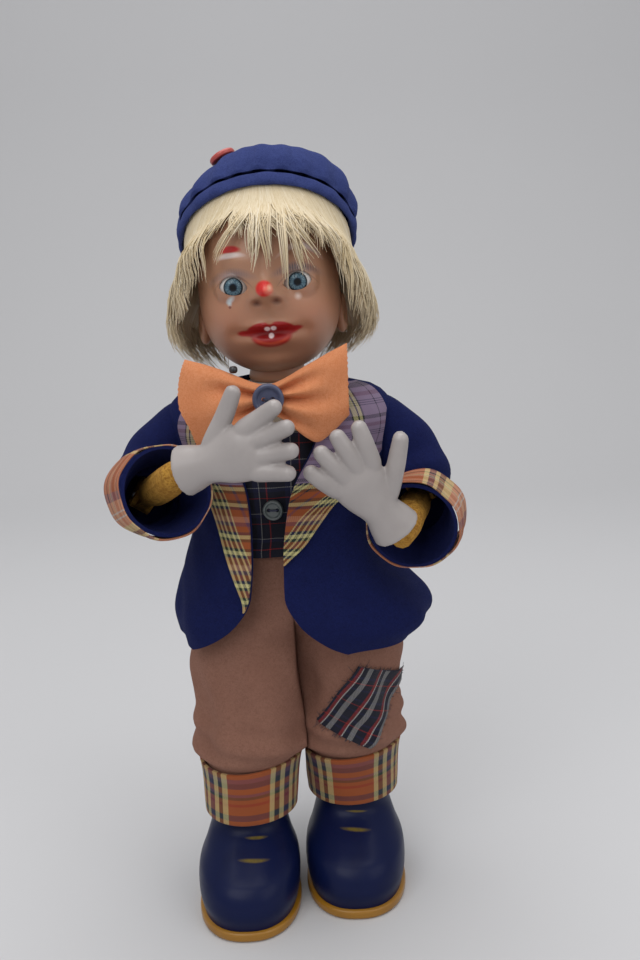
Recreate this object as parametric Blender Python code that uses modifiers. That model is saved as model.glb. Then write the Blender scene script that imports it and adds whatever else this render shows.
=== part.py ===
"""A free-standing clown doll: hard head, hands and boots on posts and rods, dressed in felt.

Units are metres, +Z is up, and the doll faces -Y. The right side of the doll is at -X.
"""

from math import acos, asin, cos, exp, pi, radians, sin, sqrt

import bmesh
import bpy
from mathutils import Matrix, Vector

# Gaps
FIT_GAP = 0.0003
CLOTH_GAP = 0.0006
LEG_SIDE_GAP = 0.0006

# Cloth
FELT = 0.0018
LINING = 0.0012

# The body's axis lies behind the middle of the frame
BODY_Y = 0.0130

# Head, measured from the neck pivot
NECK_X = -0.0003
NECK_Y = 0.002
NECK_Z = 0.287
HEAD_ROLL = radians(-3.0)
HEAD_HALF_WIDTH = 0.0360
HEAD_HALF_DEPTH = 0.0420
HEAD_HALF_HEIGHT = 0.0475
HEAD_CENTRE_Y = -0.002
HEAD_CENTRE_Z = 0.048
HEAD_SEGMENTS = 26
HEAD_RINGS = 16
JAW_WIDENING = 0.17
NECK_RADIUS = 0.0140
NECK_BOTTOM = -0.0035
EYE_RADIUS = 0.0092
EYE_X = 0.0153
EYE_Z = 0.0461
EYE_BULGE = 0.0030
EYE_SEGMENTS = 14
EYE_RINGS = 8
NOSE_PUSH = 0.0095
CHIN_PUSH = 0.0040
LIP_PUSH = 0.0028
EAR_HALF_WIDTH = 0.0042
EAR_HALF_DEPTH = 0.0066
EAR_HALF_HEIGHT = 0.0105
EAR_DROP = 0.0200
EAR_BACK = 0.0040

# Wig
WIG_GAP = 0.0013
WIG_SIDE = 0.0110
WIG_BACK = 0.0050
WIG_TOP = 0.0065
WIG_FLARE_START = 0.0090
WIG_FLARE = 0.24
WIG_INNER_FLARE = 0.26
WIG_LOCK = 0.0030
WIG_UNDER_CAP = 0.0008
WIG_PARTING = 0.05
WIG_FRINGE_LIFT = 0.0026
WIG_COLUMNS = 28
WIG_ROWS = 11
FRINGE_DROP = 0.0400
SIDE_LOCK_DROP = 0.0790
NAPE_DROP = 0.0870

# Cap
CAP_TILT = radians(38.0)
CAP_BACK = 0.0160
CAP_RISE = 0.0230
CAP_HAIR = 0.0030
BAND_HEIGHT = 0.0075
BAND_WALL = 0.0020
CROWN_HEIGHT = 0.0345
CROWN_BULGE = 0.0008
CROWN_PLEATS = 10
CROWN_PLEAT_DEPTH = 0.0008

# Buttons
CAP_BUTTON_RADIUS = 0.0068
CAP_BUTTON_TURN = radians(-37.0)
BOW_BUTTON_RADIUS = 0.0075
SHIRT_BUTTON_RADIUS = 0.0052
BUTTON_THICKNESS = 0.0028
BUTTON_HOLE_RADIUS = 0.0009
BEAD_RADIUS = 0.0021

# Posts and rods
SPINE_RADIUS = 0.0080
NECK_POST_RADIUS = 0.0050
NECK_POST_TOP = 0.0190
NECK_RING_RADIUS = 0.0170
RING_CHAMFER = 0.0010
ROD_RADIUS = 0.0025
CAP_NUT_RADIUS = 0.0042
CAP_NUT_LENGTH = 0.0034
CAP_NUT_WALL = 0.0010
POST_SOCKET = 0.0080

# Stuffed torso
TORSO_BOTTOM_Z = 0.187
TORSO_BOTTOM_HALF_WIDTH = 0.0360
TORSO_BOTTOM_HALF_DEPTH = 0.0270
WAIST_Z = 0.212
WAIST_HALF_WIDTH = 0.0360
WAIST_HALF_DEPTH = 0.0280
CHEST_Z = 0.240
CHEST_HALF_WIDTH = 0.0400
CHEST_HALF_DEPTH = 0.0300
SHOULDER_Z = 0.262
SHOULDER_HALF_WIDTH = 0.0420
SHOULDER_HALF_DEPTH = 0.0270
SLOPE_Z = 0.2735
SLOPE_HALF_WIDTH = 0.0350
SLOPE_HALF_DEPTH = 0.0210
COLLAR_Z = 0.2790
COLLAR_HALF_WIDTH = 0.0160
COLLAR_HALF_DEPTH = 0.0145

# Shirt front and bow
SHIRT_HALF_ANGLE = radians(52.0)
SHIRT_TOP_Z = 0.261
SHIRT_BUTTON_Z = 0.223
SHIRT_BUTTON_X = -0.0095
BOW_X = -0.0035
BOW_Z = 0.2800
BOW_HALF_LENGTH = 0.0390
BOW_HALF_HEIGHT = 0.0205
BOW_KNOT_HALF_HEIGHT = 0.0110
BOW_HALF_DEPTH = 0.0055
BOW_WRAP = 0.0060
BOW_SEAT = 0.50
BEAD_X = -0.0200

# Jacket, as ease over the torso and own sizes at the hem
HEM_Z = 0.148
HEM_HALF_WIDTH = 0.0640
HEM_HALF_DEPTH = 0.0480
HEM_SHIFT = 0.0080
SKIRT_Z = 0.178
SKIRT_HALF_WIDTH = 0.0575
SKIRT_HALF_DEPTH = 0.0450
WAIST_EASE = 0.0110
CHEST_EASE = 0.0055
SHOULDER_EASE = 0.0070
SLOPE_EASE = 0.0009
COLLAR_RISE = 0.0030
SKIRT_FOLDS = 7
SKIRT_FOLD_DEPTH = 0.0022
JACKET_COLUMNS = 22
LAPEL_BOTTOM_Z = 0.182
LAPEL_LOW_WIDTH = 0.0100
LAPEL_HIGH_WIDTH = 0.0340

# Arms
SHOULDER_X = 0.0525
SHOULDER_Y = 0.0030
UPPER_ARM_LENGTH = 0.0460
FOREARM_LENGTH = 0.0600
ARM_EYE_RADIUS = 0.0085
LIMB_RADIUS = 0.0086
ELBOW_CLEARANCE = 0.0120
FORK_RADIUS = 0.0062
TONGUE_THICKNESS = 0.0050
CHEEK_THICKNESS = 0.0026
ELBOW_PIN_RADIUS = 0.0015
ELBOW_PIN_PROUD = 0.0006
SLEEVE_ARMHOLE_RADIUS = 0.0152
SLEEVE_ELBOW_RADIUS = 0.0150
SLEEVE_MOUTH_RADIUS = 0.0205
SLEEVE_START_X = 0.0455
SLEEVE_SIDES = 11
CUFF_LENGTH_ROWS = 3
ARMHOLE_SLOPE = 0.35

# The sleeve below the elbow: distance along the forearm, sag, lean outwards, share of the flare
SLEEVE_STATIONS = ((0.002, -0.0010, -0.0010, 0.0), (0.016, 0.0025, 0.0, 0.0),
                   (0.030, 0.0040, 0.0010, 0.5), (0.043, 0.0050, 0.0020, 1.0))

# Hands, along and across from the mouth of the glove
GLOVE_MOUTH_RADIUS = 0.0122
GLOVE_WRIST_RADIUS = 0.0088
PALM_HALF_WIDTH = 0.0130
PALM_HALF_DEPTH = 0.0066
PALM_LENGTH = 0.0400
FINGER_LENGTH = 0.0590
FINGER_RADIUS = 0.0042
FINGERTIP_RADIUS = 0.0031
FINGER_FAN = radians(16.0)
THUMB_FAN = radians(37.0)
THUMB_LENGTH = 0.0480
GLOVE_GRIP = 0.0090
WRIST_RADIUS = 0.0064

# Trousers
LEG_MID_X = 0.003
HIP_SPREAD = 0.0270
HIP_Z = 0.146
PELVIS_RADIUS = 0.0260
PELVIS_HALF_LENGTH = 0.0420
WAISTBAND_BOTTOM_Z = 0.1560
WAISTBAND_HALF_WIDTH = 0.0435
WAISTBAND_HALF_DEPTH = 0.0315
LEG_TOP_Z = 0.150
LEG_HALF_WIDTH = 0.0285
LEG_HALF_DEPTH = 0.0305
LEG_BULGE = 0.0015
TURN_UP_TOP_Z = 0.0785
TURN_UP_BOTTOM_Z = 0.0490
ANKLE_CLOTH = 0.0036
TURN_UP = 0.0020
PATCH_X = 0.0055
PATCH_Z = 0.116
PATCH_WIDTH = 0.0310
PATCH_HEIGHT = 0.0360
PATCH_TURN = radians(-14.0)

# Legs and boots
LEG_EYE_RADIUS = 0.0090
LEG_POST_RADIUS = 0.0062
LEG_SLOT_HALF_DEPTH = 0.0205
RIGHT_ANKLE_Y = -0.0110
LEFT_ANKLE_Y = 0.0040
RIGHT_ANKLE_X = -0.0270
LEFT_ANKLE_X = 0.0315
BOOT_TOP_Z = 0.0640
BOOT_POST_DEPTH = 0.0330
BOOT_SHAFT_RADIUS = 0.0205
BOOT_TOE = 0.0560
BOOT_HEEL = 0.0300
BOOT_TOE_HALF_WIDTH = 0.0305
BOOT_HEEL_HALF_WIDTH = 0.0245
BOOT_TOE_HEIGHT = 0.0330
SOLE_THICKNESS = 0.0050
SOLE_WELT = 0.0010

# Where each arm points
ARM_AIMS = {
    "right": {
        "side": -1.0,
        "upper": Vector((-0.42, -0.48, -0.77)),
        "fore": Vector((0.463, -0.797, 0.389)),
        "glove": Vector((-0.0440, -0.0670, 0.2500)),
        "hand": Vector((0.88, -0.37, 0.27)),
        "thumb": Vector((0.0, 0.0, 1.0)),
    },
    "left": {
        "side": 1.0,
        "upper": Vector((0.45, -0.20, -0.86)),
        "fore": Vector((-0.270, -0.960, -0.060)),
        "glove": Vector((0.0550, -0.0630, 0.2180)),
        "hand": Vector((-0.55, -0.27, 0.79)),
        "thumb": Vector((0.78, 0.0, 0.62)),
    },
}


def clear_scene():
    """Remove every object of the start-up scene."""
    for obj in list(bpy.data.objects):
        bpy.data.objects.remove(obj, do_unlink=True)


def new_collection(name):
    """Return a new collection in the scene."""
    collection = bpy.data.collections.new(name)
    bpy.context.scene.collection.children.link(collection)
    return collection


def finish(name, colour, roughness, metallic=0.0):
    """Return a material with one colour."""
    material = bpy.data.materials.new(name)
    material.use_nodes = True
    shader = material.node_tree.nodes["Principled BSDF"]
    shader.inputs["Base Color"].default_value = (*colour, 1.0)
    shader.inputs["Roughness"].default_value = roughness
    shader.inputs["Metallic"].default_value = metallic
    return material


clear_scene()
PARTS = new_collection("clown_doll")
CUTTERS = new_collection("cutters")

SKIN = finish("skin", (0.72, 0.44, 0.30), 0.45)
EYE = finish("eye_glass", (0.62, 0.70, 0.76), 0.08)
HAIR = finish("hair", (0.86, 0.74, 0.50), 0.70)
BLUE_FELT = finish("blue_felt", (0.035, 0.050, 0.210), 0.95)
PLAID = finish("plaid", (0.46, 0.24, 0.16), 0.90)
DARK_PLAID = finish("dark_plaid", (0.040, 0.045, 0.075), 0.90)
ORANGE_FELT = finish("orange_felt", (0.83, 0.30, 0.11), 0.95)
PINK_FELT = finish("pink_felt", (0.44, 0.24, 0.18), 0.95)
GLOVE = finish("glove_white", (0.70, 0.69, 0.70), 0.40)
FOAM = finish("foam", (0.75, 0.50, 0.15), 0.95)
WOOD = finish("wood", (0.60, 0.42, 0.24), 0.60)
STEEL = finish("steel", (0.60, 0.60, 0.60), 0.30, 1.0)
BOOT_BLUE = finish("boot_blue", (0.020, 0.035, 0.105), 0.30)
SOLE_YELLOW = finish("sole_yellow", (0.55, 0.33, 0.05), 0.50)
RED_PLASTIC = finish("red_plastic", (0.62, 0.10, 0.07), 0.30)
GREY_PLASTIC = finish("grey_plastic", (0.08, 0.09, 0.15), 0.25)
GREEN_PLASTIC = finish("green_plastic", (0.12, 0.15, 0.14), 0.30)
BLACK_PLASTIC = finish("black_plastic", (0.012, 0.012, 0.014), 0.30)
RING_WHITE = finish("ring_white", (0.62, 0.62, 0.62), 0.50)
STUFFING = finish("stuffing", (0.70, 0.66, 0.58), 0.95)


class Pivot:
    """An empty on a joint, with the place of the drawing's origin seen from it."""

    def __init__(self, name, at, parent=None, roll=0.0, own_frame=False):
        """Add the empty at a point of the drawing, on a parent pivot if there is one."""
        self.at = Vector(at)
        self.empty = bpy.data.objects.new(name, None)
        PARTS.objects.link(self.empty)
        self.empty.rotation_euler = (0.0, roll, 0.0)
        self.empty.location = self.at
        self.drawing_origin = Vector() if own_frame else -self.at
        if parent:
            self.empty.parent = parent.empty
            self.empty.location = self.at + parent.drawing_origin

    def hold(self, obj, place=None):
        """Parent an object here, placed by a matrix of the drawing."""
        obj.parent = self.empty
        obj.matrix_basis = Matrix.Translation(self.drawing_origin) @ (place or Matrix.Identity(4))


def part(name, mesh, look, pivot, place=None):
    """Return a new named sub-part."""
    obj = bpy.data.objects.new(name, mesh)
    PARTS.objects.link(obj)
    obj.data.materials.append(look)
    obj.data.shade_smooth()
    obj.data.set_sharp_from_angle(angle=radians(40.0))
    pivot.hold(obj, place)
    return obj


def cutter(name, mesh, pivot, place=None):
    """Return a new cutter, kept out of the model."""
    obj = bpy.data.objects.new(name, mesh)
    CUTTERS.objects.link(obj)
    obj.hide_render = True
    obj.display_type = "WIRE"
    pivot.hold(obj, place)
    return obj


def combine(target, tool, operation):
    """Cut a target with a tool, or join the tool to it."""
    boolean = target.modifiers.new(operation.title(), "BOOLEAN")
    boolean.operation = operation
    boolean.solver = "EXACT"
    boolean.object = tool


def thicken(obj, thickness):
    """Give an open surface a wall on its outer side."""
    wall = obj.modifiers.new("Wall", "SOLIDIFY")
    wall.thickness = thickness
    wall.offset = 1.0


def mesh_of(bm, name):
    """Return a mesh made from a bmesh, which is freed."""
    mesh = bpy.data.meshes.new(name)
    bm.to_mesh(mesh)
    bm.free()
    return mesh


def spline(points, steps):
    """Return tuples along a smooth curve through tuples of numbers, with steps to a span."""
    ends = [points[0], *points, points[-1]]
    curve = []
    for before, first, second, after in zip(ends, ends[1:], ends[2:], ends[3:]):
        for step in range(steps):
            t = step / steps
            curve.append(tuple(
                0.5 * (2 * b + (c - a) * t + (2 * a - 5 * b + 4 * c - d) * t ** 2
                       + (3 * b - a - 3 * c + d) * t ** 3)
                for a, b, c, d in zip(before, first, second, after)))
    curve.append(tuple(points[-1]))
    return curve


def at_height(rows, z):
    """Return the row at a height, between rows that start with their height."""
    ordered = sorted(rows)
    for low, high in zip(ordered, ordered[1:]):
        if z <= high[0]:
            break
    share = (z - low[0]) / (high[0] - low[0])
    return tuple(a + share * (b - a) for a, b in zip(low, high))


def loft(name, rings):
    """Return a closed body through rings of points, flat at both ends."""
    bm = bmesh.new()
    loops = [[bm.verts.new(point) for point in ring] for ring in rings]
    for low, high in zip(loops, loops[1:]):
        for i, corner in enumerate(low):
            j = (i + 1) % len(low)
            bm.faces.new((corner, low[j], high[j], high[i]))
    bm.faces.new(loops[0])
    bm.faces.new(loops[-1])
    bmesh.ops.recalc_face_normals(bm, faces=bm.faces)
    if bm.calc_volume(signed=True) < 0.0:
        bmesh.ops.reverse_faces(bm, faces=bm.faces)
    return mesh_of(bm, name)


def sheet(name, grid, inside=None, closed_end=False):
    """Return an open surface through rows of points, facing away from an inside point.

    Without an inside point the rows are rings, and each face looks away from its own ring's middle.
    """
    wrap = inside is None
    bm = bmesh.new()
    rows = [[bm.verts.new(point) for point in row] for row in grid]
    columns = len(rows[0])
    for low, high in zip(rows, rows[1:]):
        for i in range(columns if wrap else columns - 1):
            j = (i + 1) % columns
            bm.faces.new((low[i], low[j], high[j], high[i]))
    if closed_end:
        bm.faces.new(rows[-1])
    bmesh.ops.recalc_face_normals(bm, faces=bm.faces)
    bm.normal_update()
    outward = 0.0
    for row, line in zip(rows, grid):
        middle = sum(line, Vector()) / columns if wrap else inside
        outward += sum(face.normal.dot(vert.co - middle) for vert in row for face in vert.link_faces)
    if outward < 0.0:
        bmesh.ops.reverse_faces(bm, faces=bm.faces)
    return mesh_of(bm, name)


def raised(grid, distance, inside):
    """Return a grid of points moved off its surface, away from an inside point."""
    moved = []
    last_row = len(grid) - 1
    last_column = len(grid[0]) - 1
    for r, row in enumerate(grid):
        line = []
        for c, point in enumerate(row):
            along = row[min(c + 1, last_column)] - row[max(c - 1, 0)]
            up = grid[min(r + 1, last_row)][c] - grid[max(r - 1, 0)][c]
            normal = along.cross(up).normalized()
            if normal.dot(point - inside) < 0.0:
                normal = -normal
            line.append(point + distance * normal)
        moved.append(line)
    return moved


def oval(centre, half_width, half_depth, sides):
    """Return the points of a level oval, from the front towards +X."""
    turns = [2 * pi * i / sides for i in range(sides)]
    return [centre + Vector((half_width * sin(a), -half_depth * cos(a), 0.0)) for a in turns]


def tube_rings(path, sides):
    """Return rings round a path of (x, y, z, radius), each square to the path."""
    points = [Vector(step[:3]) for step in path]
    before = [points[0], *points[:-1]]
    after = [*points[1:], points[-1]]
    tangents = [(b - a).normalized() for a, b in zip(before, after)]
    across = tangents[0].orthogonal().normalized()
    rings = []
    for point, tangent, step in zip(points, tangents, path):
        across = (across - tangent * across.dot(tangent)).normalized()
        other = tangent.cross(across)
        turns = [2 * pi * i / sides for i in range(sides)]
        rings.append([point + step[3] * (cos(a) * across + sin(a) * other) for a in turns])
    return rings


def grown(path, extra):
    """Return a path of (x, y, z, radius) with a larger radius."""
    return [(*step[:3], step[3] + extra) for step in path]


def rod(name, start, end, radius, sides=16):
    """Return a round bar between two points."""
    bm = bmesh.new()
    axis = end - start
    bmesh.ops.create_cone(
        bm, cap_ends=True, segments=sides, radius1=radius, radius2=radius, depth=axis.length)
    turn = axis.to_track_quat("Z", "Y").to_matrix().to_4x4()
    bmesh.ops.transform(bm, matrix=Matrix.Translation((start + end) / 2) @ turn, verts=bm.verts)
    return mesh_of(bm, name)


def ball(name, centre, radii, segments=20, rings=12):
    """Return a ball or an egg shape."""
    bm = bmesh.new()
    bmesh.ops.create_uvsphere(bm, u_segments=segments, v_segments=rings, radius=1.0)
    place = Matrix.Translation(centre) @ Matrix.Diagonal((*radii, 1.0))
    bmesh.ops.transform(bm, matrix=place, verts=bm.verts)
    return mesh_of(bm, name)


def block(name, centre, size):
    """Return a box."""
    bm = bmesh.new()
    bmesh.ops.create_cube(bm, size=1.0)
    place = Matrix.Translation(centre) @ Matrix.Diagonal((*size, 1.0))
    bmesh.ops.transform(bm, matrix=place, verts=bm.verts)
    return mesh_of(bm, name)


def turned(name, profile, look, pivot, place, sides=32, ring=False):
    """Return a turned sub-part from a profile of (radius, height), top to bottom outside."""
    bm = bmesh.new()
    points = [bm.verts.new((radius, 0.0, height)) for radius, height in profile]
    for first, second in zip(points, points[1:]):
        bm.edges.new((first, second))
    if ring:
        bm.edges.new((points[-1], points[0]))
    obj = part(name, mesh_of(bm, name), look, pivot, place)
    screw = obj.modifiers.new("Turn", "SCREW")
    screw.angle = 2 * pi
    screw.steps = sides
    screw.render_steps = sides
    screw.use_merge_vertices = True
    screw.merge_threshold = 0.00001
    screw.use_smooth_shade = True
    return obj


def button(name, radius, look, pivot, place):
    """Add a round button with a raised rim and two holes."""
    top = BUTTON_THICKNESS
    profile = [(0.0, 0.6 * top), (0.62 * radius, 0.6 * top), (0.75 * radius, top), (0.92 * radius, top),
               (radius, 0.75 * top), (radius, 0.3 * top), (0.85 * radius, 0.0), (0.0, 0.0)]
    obj = turned(name, profile, look, pivot, place, sides=14)
    for side in (-1, 1):
        x = side * 2.2 * BUTTON_HOLE_RADIUS
        hole = rod(f"{name}_hole", Vector((x, 0.0, -top)), Vector((x, 0.0, 2 * top)), BUTTON_HOLE_RADIUS, 6)
        combine(obj, cutter(f"{name}_hole", hole, pivot, place), "DIFFERENCE")


def facing(point, normal):
    """Return the place of a piece whose Z axis follows a normal at a point."""
    return Matrix.Translation(point) @ normal.to_track_quat("Z", "Y").to_matrix().to_4x4()


def smooth(low, high, value):
    """Return 0 at low, 1 at high and a smooth change between them."""
    share = min(max((value - low) / (high - low), 0.0), 1.0)
    return share * share * (3.0 - 2.0 * share)


# Head

HEAD_CENTRE = Vector((0.0, HEAD_CENTRE_Y, HEAD_CENTRE_Z))
CAP_INNER = max(HEAD_HALF_WIDTH, HEAD_HALF_DEPTH) + CAP_HAIR
CAP_PLACE = (Matrix.Translation(HEAD_CENTRE + Vector((0.0, CAP_BACK, CAP_RISE)))
             @ Matrix.Rotation(-CAP_TILT, 4, "X"))

# Each form of the face: x, height from the head's centre, reach in x and in z, push to the front
FACE_FORMS = (
    (0.0, 0.004, 0.0050, 0.0090, 0.30 * NOSE_PUSH),
    (0.0, -0.0050, 0.0058, 0.0050, NOSE_PUSH),
    (0.0045, -0.0075, 0.0034, 0.0034, 0.30 * NOSE_PUSH),
    (-0.0045, -0.0075, 0.0034, 0.0034, 0.30 * NOSE_PUSH),
    (0.0, -0.0195, 0.0110, 0.0030, LIP_PUSH),
    (0.0, -0.0285, 0.0090, 0.0034, LIP_PUSH),
    (0.0, -0.0240, 0.0115, 0.0018, -0.8 * LIP_PUSH),
    (0.0, -0.0410, 0.0110, 0.0080, CHIN_PUSH),
    (0.0210, -0.0170, 0.0100, 0.0100, 0.50 * CHIN_PUSH),
    (-0.0210, -0.0170, 0.0100, 0.0100, 0.50 * CHIN_PUSH),
    (EYE_X, EYE_Z - HEAD_CENTRE_Z, 0.0100, 0.0060, -0.55 * EYE_BULGE),
    (-EYE_X, EYE_Z - HEAD_CENTRE_Z, 0.0100, 0.0060, -0.55 * EYE_BULGE),
    (EYE_X, EYE_Z - HEAD_CENTRE_Z + 0.0090, 0.0100, 0.0034, 0.45 * EYE_BULGE),
    (-EYE_X, EYE_Z - HEAD_CENTRE_Z + 0.0090, 0.0100, 0.0034, 0.45 * EYE_BULGE),
)


def face_point(point):
    """Return a point of the plain head egg with the face's forms pushed out."""
    x, y, z = point
    jaw = 1.0 + JAW_WIDENING * smooth(0.0, HEAD_HALF_HEIGHT, -z)
    shaped = Vector((x * jaw, y, z))
    if y < 0.0:
        front = smooth(0.0, 0.5 * HEAD_HALF_DEPTH, -y)
        for at_x, at_z, reach_x, reach_z, push in FACE_FORMS:
            near = exp(-((x - at_x) / reach_x) ** 2 - ((z - at_z) / reach_z) ** 2)
            shaped.y -= push * near * front
    return HEAD_CENTRE + shaped


def face_front(x, z):
    """Return the y of the plain head egg at a place on the face."""
    depth = 1.0 - (x / HEAD_HALF_WIDTH) ** 2 - ((z - HEAD_CENTRE_Z) / HEAD_HALF_HEIGHT) ** 2
    return HEAD_CENTRE_Y - HEAD_HALF_DEPTH * sqrt(depth)


def head_shell(pivot):
    """Add the head with its face, ears and neck, and return the eyes' centres."""
    bm = bmesh.new()
    bmesh.ops.create_uvsphere(bm, u_segments=HEAD_SEGMENTS, v_segments=HEAD_RINGS, radius=1.0)
    bmesh.ops.rotate(bm, verts=bm.verts, cent=(0, 0, 0), matrix=Matrix.Rotation(pi / 2, 3, "X"))
    for vert in bm.verts:
        egg = (vert.co.x * HEAD_HALF_WIDTH, vert.co.y * HEAD_HALF_DEPTH, vert.co.z * HEAD_HALF_HEIGHT)
        vert.co = face_point(egg)
    obj = part("head_shell", mesh_of(bm, "head_shell"), SKIN, pivot)
    neck_top = Vector((0.0, 0.0, 0.4 * HEAD_CENTRE_Z))
    neck = rod("neck", Vector((0.0, 0.0, NECK_BOTTOM)), neck_top, NECK_RADIUS, 18)
    upright = Matrix.Rotation(-HEAD_ROLL, 4, "Y")
    combine(obj, cutter("neck", neck, pivot, upright), "UNION")
    eyes = []
    for side in (-1, 1):
        ear_x = HEAD_HALF_WIDTH - 0.25 * EAR_HALF_WIDTH
        ear_at = HEAD_CENTRE + Vector((side * ear_x, EAR_BACK, -EAR_DROP))
        ear = ball("ear", ear_at, (EAR_HALF_WIDTH, EAR_HALF_DEPTH, EAR_HALF_HEIGHT), 10, 8)
        combine(obj, cutter("ear", ear, pivot), "UNION")
        eye_y = face_front(EYE_X, EYE_Z) - EYE_BULGE + 0.55 * EYE_BULGE + EYE_RADIUS
        eyes.append(Vector((side * EYE_X, eye_y, EYE_Z)))
        socket_radius = EYE_RADIUS + FIT_GAP
        socket = ball("eye_socket", eyes[-1], (socket_radius,) * 3, EYE_SEGMENTS, EYE_RINGS)
        combine(obj, cutter("eye_socket", socket, pivot), "DIFFERENCE")
    bore_bottom = Vector((0.0, 0.0, 2 * NECK_BOTTOM))
    bore_top = Vector((0.0, 0.0, NECK_POST_TOP + FIT_GAP))
    bore = rod("neck_bore", bore_bottom, bore_top, NECK_POST_RADIUS + FIT_GAP, 14)
    combine(obj, cutter("neck_bore", bore, pivot, upright), "DIFFERENCE")
    return eyes


def wig_edge(turn):
    """Return how far the hair reaches under the head's top, at a turn from the front."""
    stations = ((0.0, FRINGE_DROP), (0.80, FRINGE_DROP), (1.25, 0.5 * (FRINGE_DROP + SIDE_LOCK_DROP)),
                (1.75, SIDE_LOCK_DROP), (2.3, NAPE_DROP), (pi, NAPE_DROP))
    drop = at_height(stations, min(abs(turn), pi))[1]
    return drop + WIG_LOCK * cos(9.0 * turn)


def under_cap(point, inner_point):
    """Return a point of the hair, pressed in where the cap is over it, but not past an inner point."""
    local = CAP_PLACE.inverted() @ point
    least = (CAP_PLACE.inverted() @ inner_point).xy.length + WIG_UNDER_CAP
    reach = max(CAP_INNER - 2 * CLOTH_GAP, least)
    spread = local.xy.length
    press = smooth(-4.6 * BAND_HEIGHT, -2.0 * BAND_HEIGHT, local.z)
    if spread > reach:
        local.xy *= 1.0 + press * (reach / spread - 1.0)
    return CAP_PLACE @ local


def face_lift(turn, level):
    """Return how far the hair stands off the head egg to clear the brows and the ears."""
    share = level / HEAD_HALF_HEIGHT
    brows = WIG_FRINGE_LIFT * smooth(1.4, 0.9, abs(turn)) * smooth(0.6, 0.3, share)
    ears = EAR_HALF_WIDTH * smooth(0.55, 0.85, abs(sin(turn))) * smooth(0.15, -0.15, share)
    return brows + ears


def hair_point(turn, arc, half_width, half_depth, half_height, flare):
    """Return a point on a layer of hair: over the head's dome, then straight down and out."""
    if arc < pi / 2:
        level = half_height * cos(arc)
        spread = sin(arc)
    else:
        level = -(arc - pi / 2) * HEAD_HALF_HEIGHT
        spread = 1.0
    out = flare * abs(sin(turn)) * max(-level - WIG_FLARE_START, 0.0) + face_lift(turn, level)
    x = (half_width * spread + out) * sin(turn)
    y = -(half_depth * spread + out) * cos(turn)
    return HEAD_CENTRE + Vector((x, y, level))


def wig(pivot):
    """Add the wig as one thick shell with a fringe, side locks and a nape."""
    inner = []
    outer = []
    for row in range(WIG_ROWS + 1):
        inner_ring = []
        outer_ring = []
        for column in range(WIG_COLUMNS):
            turn = 2 * pi * column / WIG_COLUMNS
            turn = turn if turn <= pi else turn - 2 * pi
            level = HEAD_HALF_HEIGHT - wig_edge(turn)
            reach = acos(level / HEAD_HALF_HEIGHT) if level > 0 else pi / 2 - level / HEAD_HALF_HEIGHT
            arc = max(reach * row / WIG_ROWS, WIG_PARTING)
            thin = hair_point(
                turn, arc, HEAD_HALF_WIDTH + WIG_GAP, HEAD_HALF_DEPTH + WIG_GAP,
                HEAD_HALF_HEIGHT + WIG_GAP, WIG_INNER_FLARE)
            thick = hair_point(
                turn, arc, HEAD_HALF_WIDTH + WIG_SIDE, HEAD_HALF_DEPTH + WIG_BACK,
                HEAD_HALF_HEIGHT + WIG_TOP, WIG_FLARE)
            inner_ring.append(thin)
            outer_ring.append(under_cap(thick, thin))
        inner.append(inner_ring)
        outer.append(outer_ring)
    part("wig", loft("wig", [*inner, *outer[::-1]]), HAIR, pivot)


def crown_rows():
    """Return the crown's inner profile as (radius, height) rows from the band to the top."""
    wide = CAP_INNER + CROWN_BULGE
    top = CROWN_HEIGHT - FELT
    rim = FIT_GAP + 0.4 * FELT
    return spline([(CAP_INNER, rim), (wide, 0.28 * top), (0.92 * wide, 0.62 * top), (0.62 * wide, 0.88 * top),
                   (0.22 * wide, top), (0.02 * wide, 1.01 * top)], 1)


def crown_point(radius, height, turn):
    """Return a point of the crown in the cap's frame, drawn into pleats near the band."""
    pleat = CROWN_PLEAT_DEPTH * (1.0 - height / CROWN_HEIGHT) * (1.0 + cos(CROWN_PLEATS * turn))
    return Vector(((radius + pleat) * sin(turn), -(radius + pleat) * cos(turn), height))


def cap(pivot):
    """Add the cap's band, gathered crown and button."""
    outer = CAP_INNER + BAND_WALL
    edge = outer - 0.3 * BAND_WALL
    profile = [(CAP_INNER, 0.0), (edge, 0.0), (outer, -0.25 * BAND_HEIGHT),
               (outer, -0.75 * BAND_HEIGHT), (edge, -BAND_HEIGHT), (CAP_INNER, -BAND_HEIGHT)]
    turned("cap_band", profile, BLUE_FELT, pivot, CAP_PLACE, sides=30, ring=True)
    columns = 3 * CROWN_PLEATS
    grid = [[crown_point(radius, height, 2 * pi * c / columns) for c in range(columns)]
            for radius, height in crown_rows()]
    mesh = sheet("cap_crown", grid, closed_end=True)
    crown = part("cap_crown", mesh, BLUE_FELT, pivot, CAP_PLACE)
    thicken(crown, FELT)
    lower, upper = crown_rows()[2:4]
    corners = [crown_point(*row, CAP_BUTTON_TURN + side * pi / columns)
               for row, side in ((lower, -1), (lower, 1), (upper, 0))]
    seat = sum(corners, Vector()) / 3
    normal = (corners[1] - corners[0]).cross(corners[2] - corners[0]).normalized()
    place = facing(seat + normal * (FELT + CLOTH_GAP), normal)
    button("cap_button", CAP_BUTTON_RADIUS, RED_PLASTIC, pivot, CAP_PLACE @ place)


def head(pivot):
    """Add everything that turns with the head."""
    for name, centre in zip(("eye_right", "eye_left"), head_shell(pivot)):
        part(name, ball(name, centre, (EYE_RADIUS,) * 3, EYE_SEGMENTS, EYE_RINGS), EYE, pivot)
    wig(pivot)
    cap(pivot)


# Torso

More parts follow.
